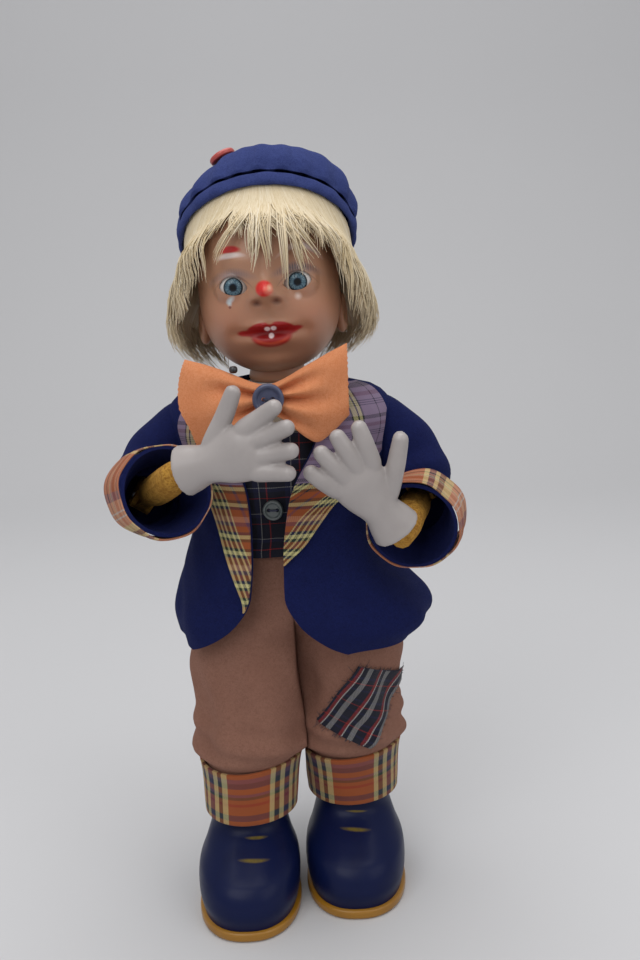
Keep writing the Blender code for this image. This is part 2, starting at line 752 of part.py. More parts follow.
TORSO_ROWS = spline([
    (TORSO_BOTTOM_Z, TORSO_BOTTOM_HALF_WIDTH, TORSO_BOTTOM_HALF_DEPTH),
    (WAIST_Z, WAIST_HALF_WIDTH, WAIST_HALF_DEPTH),
    (CHEST_Z, CHEST_HALF_WIDTH, CHEST_HALF_DEPTH),
    (SHOULDER_Z, SHOULDER_HALF_WIDTH, SHOULDER_HALF_DEPTH),
    (SLOPE_Z, SLOPE_HALF_WIDTH, SLOPE_HALF_DEPTH),
    (COLLAR_Z, COLLAR_HALF_WIDTH, COLLAR_HALF_DEPTH),
], 2)

# The collar clears the ring round the neck
COLLAR_REACH = NECK_RING_RADIUS + max(abs(NECK_X), abs(NECK_Y)) + 2 * CLOTH_GAP

# The jacket's inner face: height, half width, half depth, shift to the left side
JACKET_ROWS = spline([
    (HEM_Z, HEM_HALF_WIDTH, HEM_HALF_DEPTH, HEM_SHIFT),
    (SKIRT_Z, SKIRT_HALF_WIDTH, SKIRT_HALF_DEPTH, 0.6 * HEM_SHIFT),
    (WAIST_Z, WAIST_HALF_WIDTH + WAIST_EASE, WAIST_HALF_DEPTH + WAIST_EASE, 0.0),
    (CHEST_Z, CHEST_HALF_WIDTH + CHEST_EASE, CHEST_HALF_DEPTH + CHEST_EASE, 0.0),
    (SHOULDER_Z, SHOULDER_HALF_WIDTH + SHOULDER_EASE, SHOULDER_HALF_DEPTH + SHOULDER_EASE, 0.0),
    (SLOPE_Z + SLOPE_EASE, SLOPE_HALF_WIDTH + SLOPE_EASE, SLOPE_HALF_DEPTH + SLOPE_EASE, 0.0),
    (COLLAR_Z + COLLAR_RISE, COLLAR_REACH, COLLAR_REACH, 0.0),
], 2)

# The front opening: height, edge on the right side, edge on the left side
OPENING = ((HEM_Z, -0.045, 0.030), (HEM_Z + 0.008, -0.034, 0.018), (HEM_Z + 0.018, -0.024, 0.007),
           (HEM_Z + 0.032, -0.017, 0.000), (CHEST_Z - 0.012, -0.016, 0.004), (SHOULDER_Z, -0.024, 0.019),
           (COLLAR_Z + COLLAR_RISE, -0.013, 0.010))


def jacket_point(row, turn):
    """Return a point of the jacket's inner face at a turn from the front."""
    z, half_width, half_depth, shift = row
    fold = SKIRT_FOLD_DEPTH * smooth(WAIST_Z, HEM_Z, z) * (1.0 + cos(SKIRT_FOLDS * turn))
    return Vector((shift + (half_width + fold) * sin(turn), -(half_depth + fold) * cos(turn), z))


def edge_turn(row, x):
    """Return the turn from the front at which a jacket row has a given x."""
    return asin(max(-0.95, min(0.95, (x - row[3]) / row[1])))


def jacket(pivot):
    """Add the jacket body with its armholes."""
    grid = []
    for row in JACKET_ROWS:
        _, right_edge, left_edge = at_height(OPENING, row[0])
        start = edge_turn(row, left_edge)
        end = 2 * pi + edge_turn(row, right_edge)
        turns = [start + (end - start) * c / (JACKET_COLUMNS - 1) for c in range(JACKET_COLUMNS)]
        grid.append([jacket_point(row, turn) for turn in turns])
    inside = Vector((0.0, 0.0, CHEST_Z))
    obj = part("jacket_body", sheet("jacket_body", grid, inside), BLUE_FELT, pivot)
    thicken(obj, FELT)
    for aims in ARM_AIMS.values():
        combine(obj, cutter("armhole", armhole(aims), pivot), "DIFFERENCE")


def armhole(aims):
    """Return the space that a sleeve takes at the shoulder, as a closed body."""
    start = Vector(sleeve_path(aims)[0][:3])
    outward = Vector((aims["side"], 0.0, -ARMHOLE_SLOPE)).normalized()
    radius = SLEEVE_ARMHOLE_RADIUS + FELT + 2 * CLOTH_GAP
    return rod("armhole", start - 2 * FELT * outward, start + SHOULDER_X * outward, radius, 2 * SLEEVE_SIDES)


def lapel(name, side, pivot):
    """Add the facing that lies on one front edge of the jacket."""
    grid = []
    for row in JACKET_ROWS:
        if row[0] < LAPEL_BOTTOM_Z or row[0] > COLLAR_Z:
            continue
        edges = at_height(OPENING, row[0])
        start = edge_turn(row, edges[1] if side < 0 else edges[2])
        share = smooth(LAPEL_BOTTOM_Z, SHOULDER_Z, row[0])
        width = LAPEL_LOW_WIDTH + share * (LAPEL_HIGH_WIDTH - LAPEL_LOW_WIDTH)
        span = min(width / row[1], 1.15)
        grid.append([jacket_point(row, start + side * span * c / 7) for c in range(8)])
    inside = Vector((0.0, 0.0, CHEST_Z))
    grid = raised(grid, FELT + CLOTH_GAP, inside)
    obj = part(name, sheet(name, grid, inside), PLAID, pivot)
    thicken(obj, LINING)
    aims = ARM_AIMS["right" if side < 0 else "left"]
    combine(obj, cutter("lapel_armhole", armhole(aims), pivot), "DIFFERENCE")


def torso_point(z, turn, out=0.0):
    """Return a point on the stuffed torso, or a little off it."""
    _, half_width, half_depth = at_height(TORSO_ROWS, z)
    return Vector(((half_width + out) * sin(turn), -(half_depth + out) * cos(turn), z))


def shirt(pivot):
    """Add the shirt front and its button."""
    rows = [row[0] for row in TORSO_ROWS if row[0] < SHIRT_TOP_Z]
    turns = [SHIRT_HALF_ANGLE * (c / 4 - 1.0) for c in range(9)]
    grid = [[torso_point(z, turn, CLOTH_GAP) for turn in turns] for z in rows]
    obj = part("shirt_front", sheet("shirt_front", grid, Vector((0.0, 0.0, CHEST_Z))), DARK_PLAID, pivot)
    thicken(obj, LINING)
    turn = asin(SHIRT_BUTTON_X / at_height(TORSO_ROWS, SHIRT_BUTTON_Z)[1])
    seat = torso_point(SHIRT_BUTTON_Z, turn, 2 * CLOTH_GAP + LINING)
    normal = Vector((sin(turn), -cos(turn), 0.0))
    button("shirt_button", SHIRT_BUTTON_RADIUS, GREEN_PLASTIC, pivot, facing(seat, normal))


def bow_front(x):
    """Return how far the layers behind the bow reach to the front at an x."""
    _, half_width, half_depth, _ = at_height(JACKET_ROWS, BOW_Z - BOW_HALF_HEIGHT)
    layers = FELT + LINING + CLOTH_GAP
    share = 1.0 - (x / (half_width + layers)) ** 2
    centre = half_depth + layers
    return max(centre * sqrt(max(share, 0.0)), centre - BOW_WRAP)


def bow_section(share):
    """Return the bow's half height, half depth and middle (y) at a share from knot to end."""
    x = BOW_HALF_LENGTH * share
    wing = smooth(0.05, 0.85, abs(share))
    half_height = BOW_KNOT_HALF_HEIGHT + wing * (BOW_HALF_HEIGHT - BOW_KNOT_HALF_HEIGHT)
    puff = 0.35 * sin(pi * min(abs(share) * 1.1, 1.0)) - 0.35 * abs(share) ** 3
    half_depth = BOW_HALF_DEPTH * (0.75 + puff)
    middle = -bow_front(BOW_X + x) - BOW_SEAT * half_depth - FIT_GAP
    return half_height, half_depth, middle


def bow_ring(share, sides=16):
    """Return the outline of the bow at a share from knot to end, with its folds."""
    half_height, half_depth, middle = bow_section(share)
    ring = []
    for i in range(sides):
        turn = 2 * pi * i / sides
        fold = 1.0 - 0.28 * (1.0 - abs(share)) * cos(4.0 * turn) * abs(cos(turn))
        ring.append(Vector((BOW_X + BOW_HALF_LENGTH * share, middle - half_depth * cos(turn) * fold,
                            BOW_Z + half_height * sin(turn))))
    return ring


def bow(pivot):
    """Add the bow tie with its folds, its button and the bead above it."""
    part("bow_tie", loft("bow_tie", [bow_ring(station / 6) for station in range(-6, 7)]), ORANGE_FELT, pivot)
    reach = BOW_BUTTON_RADIUS / BOW_HALF_LENGTH
    front = min(point.y for share in (-reach, 0.0, reach) for point in bow_ring(share))
    button("bow_button", BOW_BUTTON_RADIUS, GREY_PLASTIC, pivot,
           facing(Vector((BOW_X, front - FIT_GAP, BOW_Z)), Vector((0.0, -1.0, 0.0))))
    half_height, _, middle = bow_section((BEAD_X - BOW_X) / BOW_HALF_LENGTH)
    bead_at = Vector((BEAD_X, middle, BOW_Z + half_height + BEAD_RADIUS + FIT_GAP))
    part("collar_bead", ball("collar_bead", bead_at, (BEAD_RADIUS,) * 3, 10, 6), BLACK_PLASTIC, pivot)


def end_cap(name, end, outward, pivot):
    """Add a press cap on the end of a rod."""
    start = end - outward * (CAP_NUT_LENGTH - CAP_NUT_WALL)
    obj = part(name, rod(name, start, start + outward * CAP_NUT_LENGTH, CAP_NUT_RADIUS, 18), STEEL, pivot)
    bore = rod("cap_bore", start - outward * CAP_NUT_LENGTH, end + outward * FIT_GAP, ROD_RADIUS + FIT_GAP)
    combine(obj, cutter("cap_bore", bore, pivot), "DIFFERENCE")


def cross_rod(name, middle, half_length, pivot):
    """Add a rod along X and its two end caps, and return a cutter for what it passes through."""
    reach = Vector((half_length, 0.0, 0.0))
    part(name, rod(name, middle - reach, middle + reach, ROD_RADIUS), STEEL, pivot)
    for side, label in ((-1, "right"), (1, "left")):
        end_cap(f"{name.split('_')[0]}_cap_{label}", middle + side * reach, Vector((side, 0.0, 0.0)), pivot)
    bore = rod("bore", middle - 2 * reach, middle + 2 * reach, ROD_RADIUS + FIT_GAP)
    return cutter(f"{name}_bore", bore, pivot)


def torso(pivot):
    """Add the posts, rods, stuffing, shirt, bow, jacket and the trousers' seat."""
    neck_at = Vector((NECK_X, NECK_Y, 0.0))
    top = Vector((NECK_X, NECK_Y, COLLAR_Z - FIT_GAP))
    bottom = Vector((NECK_X, NECK_Y, HIP_Z + ROD_RADIUS + 4 * FIT_GAP))
    spine = part("spine_post", rod("spine_post", bottom, top, SPINE_RADIUS, 20), WOOD, pivot)
    neck_top = Vector((NECK_X, NECK_Y, NECK_Z + NECK_POST_TOP))
    neck_bottom = top - Vector((0.0, 0.0, POST_SOCKET))
    part("neck_post", rod("neck_post", neck_bottom, neck_top, NECK_POST_RADIUS, 20), WOOD, pivot)
    bore_radius = NECK_POST_RADIUS + FIT_GAP
    neck_hole = rod("neck_hole", neck_bottom - Vector((0.0, 0.0, FIT_GAP)), neck_top, bore_radius, 20)
    combine(spine, cutter("neck_hole", neck_hole, pivot), "DIFFERENCE")
    ring_top = NECK_Z + NECK_BOTTOM - FIT_GAP
    ring_bottom = COLLAR_Z + FIT_GAP
    edge = NECK_RING_RADIUS - RING_CHAMFER
    profile = [(bore_radius, ring_top), (edge, ring_top),
               (NECK_RING_RADIUS, ring_top - RING_CHAMFER), (NECK_RING_RADIUS, ring_bottom + RING_CHAMFER),
               (edge, ring_bottom), (bore_radius, ring_bottom)]
    turned("neck_ring", profile, RING_WHITE, pivot, Matrix.Translation(neck_at), sides=18, ring=True)

    shoulder_bore = cross_rod("shoulder_rod", Vector((0.0, SHOULDER_Y, SHOULDER_Z)),
                              SHOULDER_X + ARM_EYE_RADIUS + CAP_NUT_LENGTH - CAP_NUT_WALL + FIT_GAP, pivot)
    hip_bore = cross_rod("hip_rod", Vector((LEG_MID_X, 0.0, HIP_Z)),
                         PELVIS_HALF_LENGTH + CAP_NUT_LENGTH - CAP_NUT_WALL + FIT_GAP, pivot)
    rings = [oval(Vector((0.0, 0.0, z)), width, depth, 16) for z, width, depth in TORSO_ROWS]
    stuffing = part("torso_stuffing", loft("torso_stuffing", rings), STUFFING, pivot)
    spine_bore = cutter("spine_bore", rod(
        "spine_bore", bottom - Vector((0.0, 0.0, FIT_GAP)), top + Vector((0.0, 0.0, 0.1)),
        SPINE_RADIUS + FIT_GAP, 20), pivot)
    combine(spine, shoulder_bore, "DIFFERENCE")
    combine(stuffing, spine_bore, "DIFFERENCE")
    combine(stuffing, shoulder_bore, "DIFFERENCE")
    seat(pivot, spine_bore, hip_bore)
    shirt(pivot)
    jacket(pivot)
    lapel("lapel_right", -1, pivot)
    lapel("lapel_left", 1, pivot)
    bow(pivot)


def seat(pivot, spine_bore, hip_bore):
    """Add the trousers' seat: a round pelvis on the hip rod, with the waistband over it."""
    middle = Vector((LEG_MID_X, 0.0, HIP_Z))
    reach = Vector((PELVIS_HALF_LENGTH, 0.0, 0.0))
    pelvis = rod("trouser_seat", middle - reach, middle + reach, PELVIS_RADIUS, 24)
    obj = part("trouser_seat", pelvis, PINK_FELT, pivot)
    top_z = TORSO_BOTTOM_Z - CLOTH_GAP
    rows = spline([
        (WAISTBAND_BOTTOM_Z, 0.97 * WAISTBAND_HALF_WIDTH, 0.95 * WAISTBAND_HALF_DEPTH, LEG_MID_X),
        (0.6 * WAISTBAND_BOTTOM_Z + 0.4 * top_z, WAISTBAND_HALF_WIDTH, WAISTBAND_HALF_DEPTH, 0.6 * LEG_MID_X),
        (top_z, 0.90 * WAISTBAND_HALF_WIDTH, 0.93 * WAISTBAND_HALF_DEPTH, 0.0),
    ], 2)
    band = loft("waistband", [oval(Vector((x, 0.0, z)), width, depth, 22) for z, width, depth, x in rows])
    combine(obj, cutter("waistband", band, pivot), "UNION")
    combine(obj, spine_bore, "DIFFERENCE")
    combine(obj, hip_bore, "DIFFERENCE")
    for side in (-1, 1):
        slot_top = LEG_EYE_RADIUS + CLOTH_GAP
        depth = slot_top + 2 * PELVIS_RADIUS
        centre = middle + Vector((side * HIP_SPREAD, 0.0, slot_top - 0.5 * depth))
        slot = block("leg_slot", centre, (2 * (LEG_EYE_RADIUS + CLOTH_GAP), 2 * LEG_SLOT_HALF_DEPTH, depth))
        combine(obj, cutter("leg_slot", slot, pivot), "DIFFERENCE")


# Arms

def arm_points(aims):
    """Return an arm's shoulder and elbow points and its two unit directions."""
    shoulder = Vector((aims["side"] * SHOULDER_X, SHOULDER_Y, SHOULDER_Z))
    upper = aims["upper"].normalized()
    fore = aims["fore"].normalized()
    return shoulder, shoulder + UPPER_ARM_LENGTH * upper, upper, fore


def sleeve_path(aims):
    """Return the sleeve's middle line and inner radius, from armhole to mouth."""
    shoulder, elbow, _, fore = arm_points(aims)
    side = aims["side"]
    half_way = (shoulder + elbow) / 2
    start = (side * SLEEVE_START_X, SHOULDER_Y, SHOULDER_Z - 0.0035, SLEEVE_ARMHOLE_RADIUS)
    points = [
        start,
        (start[0] + side * 0.0090, start[1], start[2] - 0.0025, SLEEVE_ARMHOLE_RADIUS),
        (half_way.x + side * 0.0040, half_way.y + 0.002, half_way.z - 0.001, SLEEVE_ARMHOLE_RADIUS),
    ]
    for along, drop, out, opened in SLEEVE_STATIONS:
        at = elbow + fore * along
        radius = SLEEVE_ELBOW_RADIUS + opened * (SLEEVE_MOUTH_RADIUS - SLEEVE_ELBOW_RADIUS)
        points.append((at.x + side * out, at.y, at.z - drop, radius))
    return spline(points, 2)


def stadium(centre, along, across, length, radius):
    """Return an outline that is round about a centre and runs straight along a direction."""
    ring = []
    for i in range(7):
        turn = pi / 2 + pi * i / 6
        ring.append(centre + radius * (cos(turn) * along + sin(turn) * across))
    ring.append(centre + length * along - radius * across)
    ring.append(centre + length * along + radius * across)
    return ring


def cheek(centre, along, axis, first, second):
    """Return a flat lug between two distances along the elbow's axis."""
    across = axis.cross(along).normalized()
    length = ELBOW_CLEARANCE + 2 * CHEEK_THICKNESS
    return loft("lug", [stadium(centre + axis * offset, along, across, length, FORK_RADIUS)
                        for offset in (first, second)])


def hand(name, aims, forearm_path, pivot):
    """Add a hard glove with four fingers and a thumb, hollowed for the end of the forearm."""
    along = aims["hand"].normalized()
    thumb = (aims["thumb"] - along * aims["thumb"].dot(along)).normalized()
    normal = along.cross(thumb)
    mouth = aims["glove"]

    def at(forward, sideways):
        """Return the point at a distance along and across the hand."""
        return mouth + forward * along + sideways * thumb

    stations = spline([
        (0.0, GLOVE_MOUTH_RADIUS, 0.92 * GLOVE_MOUTH_RADIUS),
        (0.14 * PALM_LENGTH, 0.90 * GLOVE_MOUTH_RADIUS, 0.83 * GLOVE_MOUTH_RADIUS),
        (0.34 * PALM_LENGTH, 1.05 * GLOVE_WRIST_RADIUS, GLOVE_WRIST_RADIUS),
        (0.62 * PALM_LENGTH, 0.94 * PALM_HALF_WIDTH, 1.06 * PALM_HALF_DEPTH),
        (0.85 * PALM_LENGTH, PALM_HALF_WIDTH, PALM_HALF_DEPTH),
        (PALM_LENGTH, 0.80 * PALM_HALF_WIDTH, 0.62 * PALM_HALF_DEPTH),
    ], 2)
    rings = []
    for forward, width, depth in stations:
        turns = [2 * pi * i / 10 for i in range(10)]
        rings.append([at(forward, width * cos(a)) + depth * sin(a) * normal for a in turns])
    obj = part(name, loft(name, rings), GLOVE, pivot)

    fingers = [(0.88 * PALM_LENGTH, 0.72 * PALM_HALF_WIDTH * spread,
                FINGER_FAN * spread, FINGER_LENGTH * length)
               for spread, length in ((1.0, 0.985), (0.33, 1.0), (-0.33, 0.975), (-1.0, 0.925))]
    fingers.append((0.45 * PALM_LENGTH, 0.50 * PALM_HALF_WIDTH, THUMB_FAN, THUMB_LENGTH))
    for base, sideways, fan, reach in fingers:
        root = at(base, sideways)
        tip = at(reach * cos(fan), reach * sin(fan))
        lean = (tip - root).normalized()
        middle = (root + tip) / 2 - 0.0012 * normal
        end = tip - lean * FINGERTIP_RADIUS
        path = spline([(*root, FINGER_RADIUS), (*middle, 0.97 * FINGER_RADIUS), (*end, FINGERTIP_RADIUS)], 2)
        path += [(*(end + lean * FINGERTIP_RADIUS * sin(a)), FINGERTIP_RADIUS * cos(a)) for a in (0.8, 1.35)]
        finger = loft("finger", tube_rings(path, 6))
        combine(obj, cutter("finger", finger, pivot), "UNION")
    bore = loft("glove_bore", tube_rings(grown(forearm_path, CLOTH_GAP), 12))
    combine(obj, cutter("glove_bore", bore, pivot), "DIFFERENCE")


def forearm_line(aims, extra=0.0):
    """Return the forearm's path of (x, y, z, radius), from near the elbow into the glove."""
    _, elbow, _, fore = arm_points(aims)
    along = aims["hand"].normalized()
    grip = aims["glove"] + along * (GLOVE_GRIP + extra)
    points = [(*(elbow + fore * ELBOW_CLEARANCE), 0.72 * LIMB_RADIUS),
              (*(elbow + fore * 0.36 * FOREARM_LENGTH), 0.92 * LIMB_RADIUS),
              (*(elbow + fore * 0.66 * FOREARM_LENGTH), 0.95 * LIMB_RADIUS),
              (*(aims["glove"] - along * 0.5 * GLOVE_GRIP), WRIST_RADIUS),
              (*grip, WRIST_RADIUS)]
    return spline(points, 2)


def arm(label, aims, upper_pivot, fore_pivot):
    """Add one arm: foam limbs, elbow pin, sleeve, cuff and hand."""
    shoulder, elbow, upper, fore = arm_points(aims)
    axis = upper.cross(fore).normalized()
    inner = TONGUE_THICKNESS / 2
    outer = inner + FIT_GAP + CHEEK_THICKNESS

    eye = ball("eye", shoulder, (ARM_EYE_RADIUS,) * 3, 12, 6)
    limb = part(f"upper_arm_{label}", eye, FOAM, upper_pivot)
    end = UPPER_ARM_LENGTH - ELBOW_CLEARANCE
    path = spline([(*(shoulder + upper * step), radius) for step, radius in (
        (0.4 * ARM_EYE_RADIUS, 0.50 * LIMB_RADIUS), (0.60 * end, LIMB_RADIUS),
        (0.80 * end, LIMB_RADIUS), (end, 0.76 * LIMB_RADIUS))], 2)
    combine(limb, cutter("upper_limb", loft("upper_limb", tube_rings(path, 10)), upper_pivot), "UNION")
    for first, second in ((inner + FIT_GAP, outer), (-outer, -inner - FIT_GAP)):
        combine(limb, cutter("fork_lug", cheek(elbow, -upper, axis, first, second), upper_pivot), "UNION")
    bar = Vector((0.1, 0.0, 0.0))
    rod_bore = rod("rod_bore", shoulder - bar, shoulder + bar, ROD_RADIUS + FIT_GAP)
    combine(limb, cutter("rod_bore", rod_bore, upper_pivot), "DIFFERENCE")
    pin_reach = axis * (outer + ELBOW_PIN_PROUD)
    pin_bore = rod("pin_bore", elbow - 2 * pin_reach, elbow + 2 * pin_reach, ELBOW_PIN_RADIUS + FIT_GAP, 12)
    combine(limb, cutter("pin_bore", pin_bore, upper_pivot), "DIFFERENCE")

    forearm = part(f"forearm_{label}", loft("forearm", tube_rings(forearm_line(aims), 12)), FOAM, fore_pivot)
    combine(forearm, cutter("tongue", cheek(elbow, fore, axis, -inner, inner), fore_pivot), "UNION")
    combine(forearm, cutter("tongue_bore", pin_bore.copy(), fore_pivot), "DIFFERENCE")
    pin = rod("elbow_pin", elbow - pin_reach, elbow + pin_reach, ELBOW_PIN_RADIUS, 12)
    part(f"elbow_pin_{label}", pin, STEEL, fore_pivot)
    hand(f"hand_{label}", aims, forearm_line(aims, FIT_GAP), fore_pivot)

    path = sleeve_path(aims)
    sleeve_mesh = sheet("sleeve", tube_rings(path, SLEEVE_SIDES))
    sleeve = part(f"sleeve_{label}", sleeve_mesh, BLUE_FELT, upper_pivot)
    thicken(sleeve, FELT)
    cuff_rings = tube_rings(grown(path, FELT + CLOTH_GAP), SLEEVE_SIDES)[-CUFF_LENGTH_ROWS - 1:]
    cuff = part(f"sleeve_cuff_{label}", sheet("cuff", cuff_rings), PLAID, fore_pivot)
    thicken(cuff, LINING)


# Legs

TROUSER_ROWS = spline([
    (LEG_TOP_Z, LEG_HALF_WIDTH, LEG_HALF_DEPTH),
    (0.75 * LEG_TOP_Z + 0.25 * TURN_UP_TOP_Z, LEG_HALF_WIDTH + 0.3 * LEG_BULGE, LEG_HALF_DEPTH),
    (0.45 * LEG_TOP_Z + 0.55 * TURN_UP_TOP_Z, LEG_HALF_WIDTH - LEG_BULGE, LEG_HALF_DEPTH - LEG_BULGE),
    (0.16 * LEG_TOP_Z + 0.84 * TURN_UP_TOP_Z, LEG_HALF_WIDTH + LEG_BULGE, LEG_HALF_DEPTH + 0.5 * LEG_BULGE),
    (TURN_UP_TOP_Z, BOOT_SHAFT_RADIUS + 1.6 * ANKLE_CLOTH, BOOT_SHAFT_RADIUS + 1.8 * ANKLE_CLOTH),
    (TURN_UP_BOTTOM_Z + FELT, BOOT_SHAFT_RADIUS + ANKLE_CLOTH, BOOT_SHAFT_RADIUS + ANKLE_CLOTH),
], 2)


class Leg:
    """The points of one leg, from the hip to the ankle."""

    def __init__(self, label, side, ankle_x, ankle_y):
        """Keep the leg's hip and ankle points."""
        self.label = label
        self.side = side
        self.hip = Vector((LEG_MID_X + side * HIP_SPREAD, 0.0, HIP_Z))
        self.ankle = Vector((ankle_x, ankle_y, BOOT_TOP_Z))

    def middle(self, z):
        """Return the middle of the leg at a height."""
        share = (self.hip.z - z) / (self.hip.z - self.ankle.z)
        return self.hip + share * (self.ankle - self.hip)

    def cloth(self, z, turn, out=0.0):
        """Return a point on the trouser leg, kept on its own side of the middle."""
        _, half_width, half_depth = at_height(TROUSER_ROWS, z)
        point = self.middle(z) + Vector(((half_width + out) * sin(turn), -(half_depth + out) * cos(turn), 0.0))
        limit = LEG_MID_X + self.side * 0.5 * LEG_SIDE_GAP
        point.x = max(point.x, limit) if self.side > 0 else min(point.x, limit)
        return point


def boot_outline(leg, z, toe, heel, toe_width, heel_width):
    """Return a level outline of the boot, wider at the toe."""
    ring = []
    for i in range(18):
        turn = 2 * pi * i / 18
        toward_toe = 0.5 * (1.0 + cos(turn))
        width = heel_width + (toe_width - heel_width) * toward_toe
        y = 0.5 * (heel - toe) - 0.5 * (heel + toe) * cos(turn)
        squared = abs(sin(turn)) ** 0.85 * (1.0 if sin(turn) > 0 else -1.0)
        ring.append(Vector((leg.ankle.x + width * squared, leg.ankle.y + y, z)))
    return ring


def boot(leg, pivot, post_end):
    """Add the sole and the bulbous boot with its shaft."""
    sole = [boot_outline(leg, z, BOOT_TOE - inset, BOOT_HEEL - inset, BOOT_TOE_HALF_WIDTH - inset,
                         BOOT_HEEL_HALF_WIDTH - inset)
            for z, inset in ((0.0, SOLE_WELT), (0.2 * SOLE_THICKNESS, 0.0), (0.8 * SOLE_THICKNESS, 0.0),
                             (SOLE_THICKNESS, 0.6 * SOLE_WELT))]
    part(f"boot_sole_{leg.label}", loft("boot_sole", sole), SOLE_YELLOW, pivot)
    low = SOLE_THICKNESS + FIT_GAP
    shaft = BOOT_SHAFT_RADIUS
    instep = 0.5 * (BOOT_TOE_HEIGHT + TURN_UP_BOTTOM_Z)
    toe = BOOT_TOE
    heel = BOOT_HEEL
    rows = spline([
        (low, toe - 2 * SOLE_WELT, heel - 2 * SOLE_WELT, BOOT_TOE_HALF_WIDTH - 2 * SOLE_WELT,
         BOOT_HEEL_HALF_WIDTH - 2 * SOLE_WELT),
        (0.45 * BOOT_TOE_HEIGHT, toe - 0.0005, heel, BOOT_TOE_HALF_WIDTH - 0.0003, BOOT_HEEL_HALF_WIDTH),
        (0.78 * BOOT_TOE_HEIGHT, 0.90 * toe, 0.98 * heel, 0.97 * BOOT_TOE_HALF_WIDTH, BOOT_HEEL_HALF_WIDTH),
        (BOOT_TOE_HEIGHT, 0.5 * (toe + shaft), 0.5 * (heel + shaft), 0.5 * (BOOT_TOE_HALF_WIDTH + shaft),
         0.5 * (BOOT_HEEL_HALF_WIDTH + shaft)),
        (instep, 1.12 * shaft, 1.08 * shaft, 1.03 * shaft, 1.02 * shaft),
        (TURN_UP_BOTTOM_Z, shaft, shaft, shaft, shaft),
        (BOOT_TOP_Z, 0.98 * shaft, 0.98 * shaft, 0.98 * shaft, 0.98 * shaft),
    ], 2)
    upper = part(f"boot_upper_{leg.label}", loft("boot_upper", [boot_outline(leg, *row) for row in rows]),
                 BOOT_BLUE, pivot)
    deeper = post_end + (post_end - leg.hip).normalized() * FIT_GAP
    bore = rod("boot_bore", leg.hip, deeper, LEG_POST_RADIUS + FIT_GAP, 18)
    combine(upper, cutter("boot_bore", bore, pivot), "DIFFERENCE")


def leg_pieces(leg, pivot):
    """Add one leg: post, trouser leg, turn-up and boot."""
    along = (leg.ankle - leg.hip).normalized()
    post_end = leg.ankle + along * BOOT_POST_DEPTH
    post = part(f"leg_post_{leg.label}", ball("leg_eye", leg.hip, (LEG_EYE_RADIUS,) * 3, 12, 6), WOOD, pivot)
    stick = rod("stick", leg.hip + along * 0.4 * LEG_EYE_RADIUS, post_end, LEG_POST_RADIUS, 18)
    combine(post, cutter("stick", stick, pivot), "UNION")
    bar = Vector((0.1, 0.0, 0.0))
    rod_bore = rod("hip_bore", leg.hip - bar, leg.hip + bar, ROD_RADIUS + FIT_GAP)
    combine(post, cutter("hip_bore", rod_bore, pivot), "DIFFERENCE")

    turns = [2 * pi * i / 16 for i in range(16)]
    rings = [[leg.cloth(row[0], turn) for turn in turns] for row in TROUSER_ROWS]
    cloth = part(f"trouser_leg_{leg.label}", loft("trouser_leg", rings), PINK_FELT, pivot)
    reach = Vector((PELVIS_HALF_LENGTH + CAP_NUT_LENGTH + FIT_GAP + CLOTH_GAP, 0.0, 0.0))
    middle = Vector((LEG_MID_X, 0.0, HIP_Z))
    hollow = rod("pelvis_hollow", middle - reach, middle + reach, PELVIS_RADIUS + CLOTH_GAP, 24)
    combine(cloth, cutter("pelvis_hollow", hollow, pivot), "DIFFERENCE")
    post_bore = rod("post_bore", leg.hip, post_end, LEG_POST_RADIUS + FIT_GAP, 18)
    combine(cloth, cutter("post_bore", post_bore, pivot), "DIFFERENCE")
    shaft = BOOT_SHAFT_RADIUS + 2 * CLOTH_GAP
    ankle_rings = [oval(Vector((leg.ankle.x, leg.ankle.y, z)), shaft, shaft, 28)
                   for z in (0.5 * TURN_UP_BOTTOM_Z, BOOT_TOP_Z + CLOTH_GAP)]
    combine(cloth, cutter("shaft_hollow", loft("shaft_hollow", ankle_rings), pivot), "DIFFERENCE")

    low = TURN_UP_BOTTOM_Z + FELT
    heights = [low + (TURN_UP_TOP_Z - low) * r / 3 for r in range(4)]
    grid = [[leg.cloth(z, turn, CLOTH_GAP) for turn in turns] for z in heights]
    turn_up = part(f"turn_up_{leg.label}", sheet("turn_up", grid), PLAID, pivot)
    thicken(turn_up, TURN_UP)
    boot(leg, pivot, post_end)


def knee_patch(leg, pivot):
    """Add the patch on the front of a trouser leg, set askew."""
    grid = []
    for r in range(6):
        row = []
        for c in range(6):
            across = PATCH_WIDTH * (c / 5 - 0.5)
            up = PATCH_HEIGHT * (r / 5 - 0.5)
            z = PATCH_Z + up * cos(PATCH_TURN) + across * sin(PATCH_TURN)
            x = PATCH_X + across * cos(PATCH_TURN) - up * sin(PATCH_TURN)
            row.append(leg.cloth(z, x / LEG_HALF_WIDTH))
        grid.append(row)
    inside = leg.middle(PATCH_Z)
    grid = raised(grid, CLOTH_GAP, inside)
    obj = part("knee_patch", sheet("knee_patch", grid, inside), DARK_PLAID, pivot)
    thicken(obj, LINING)


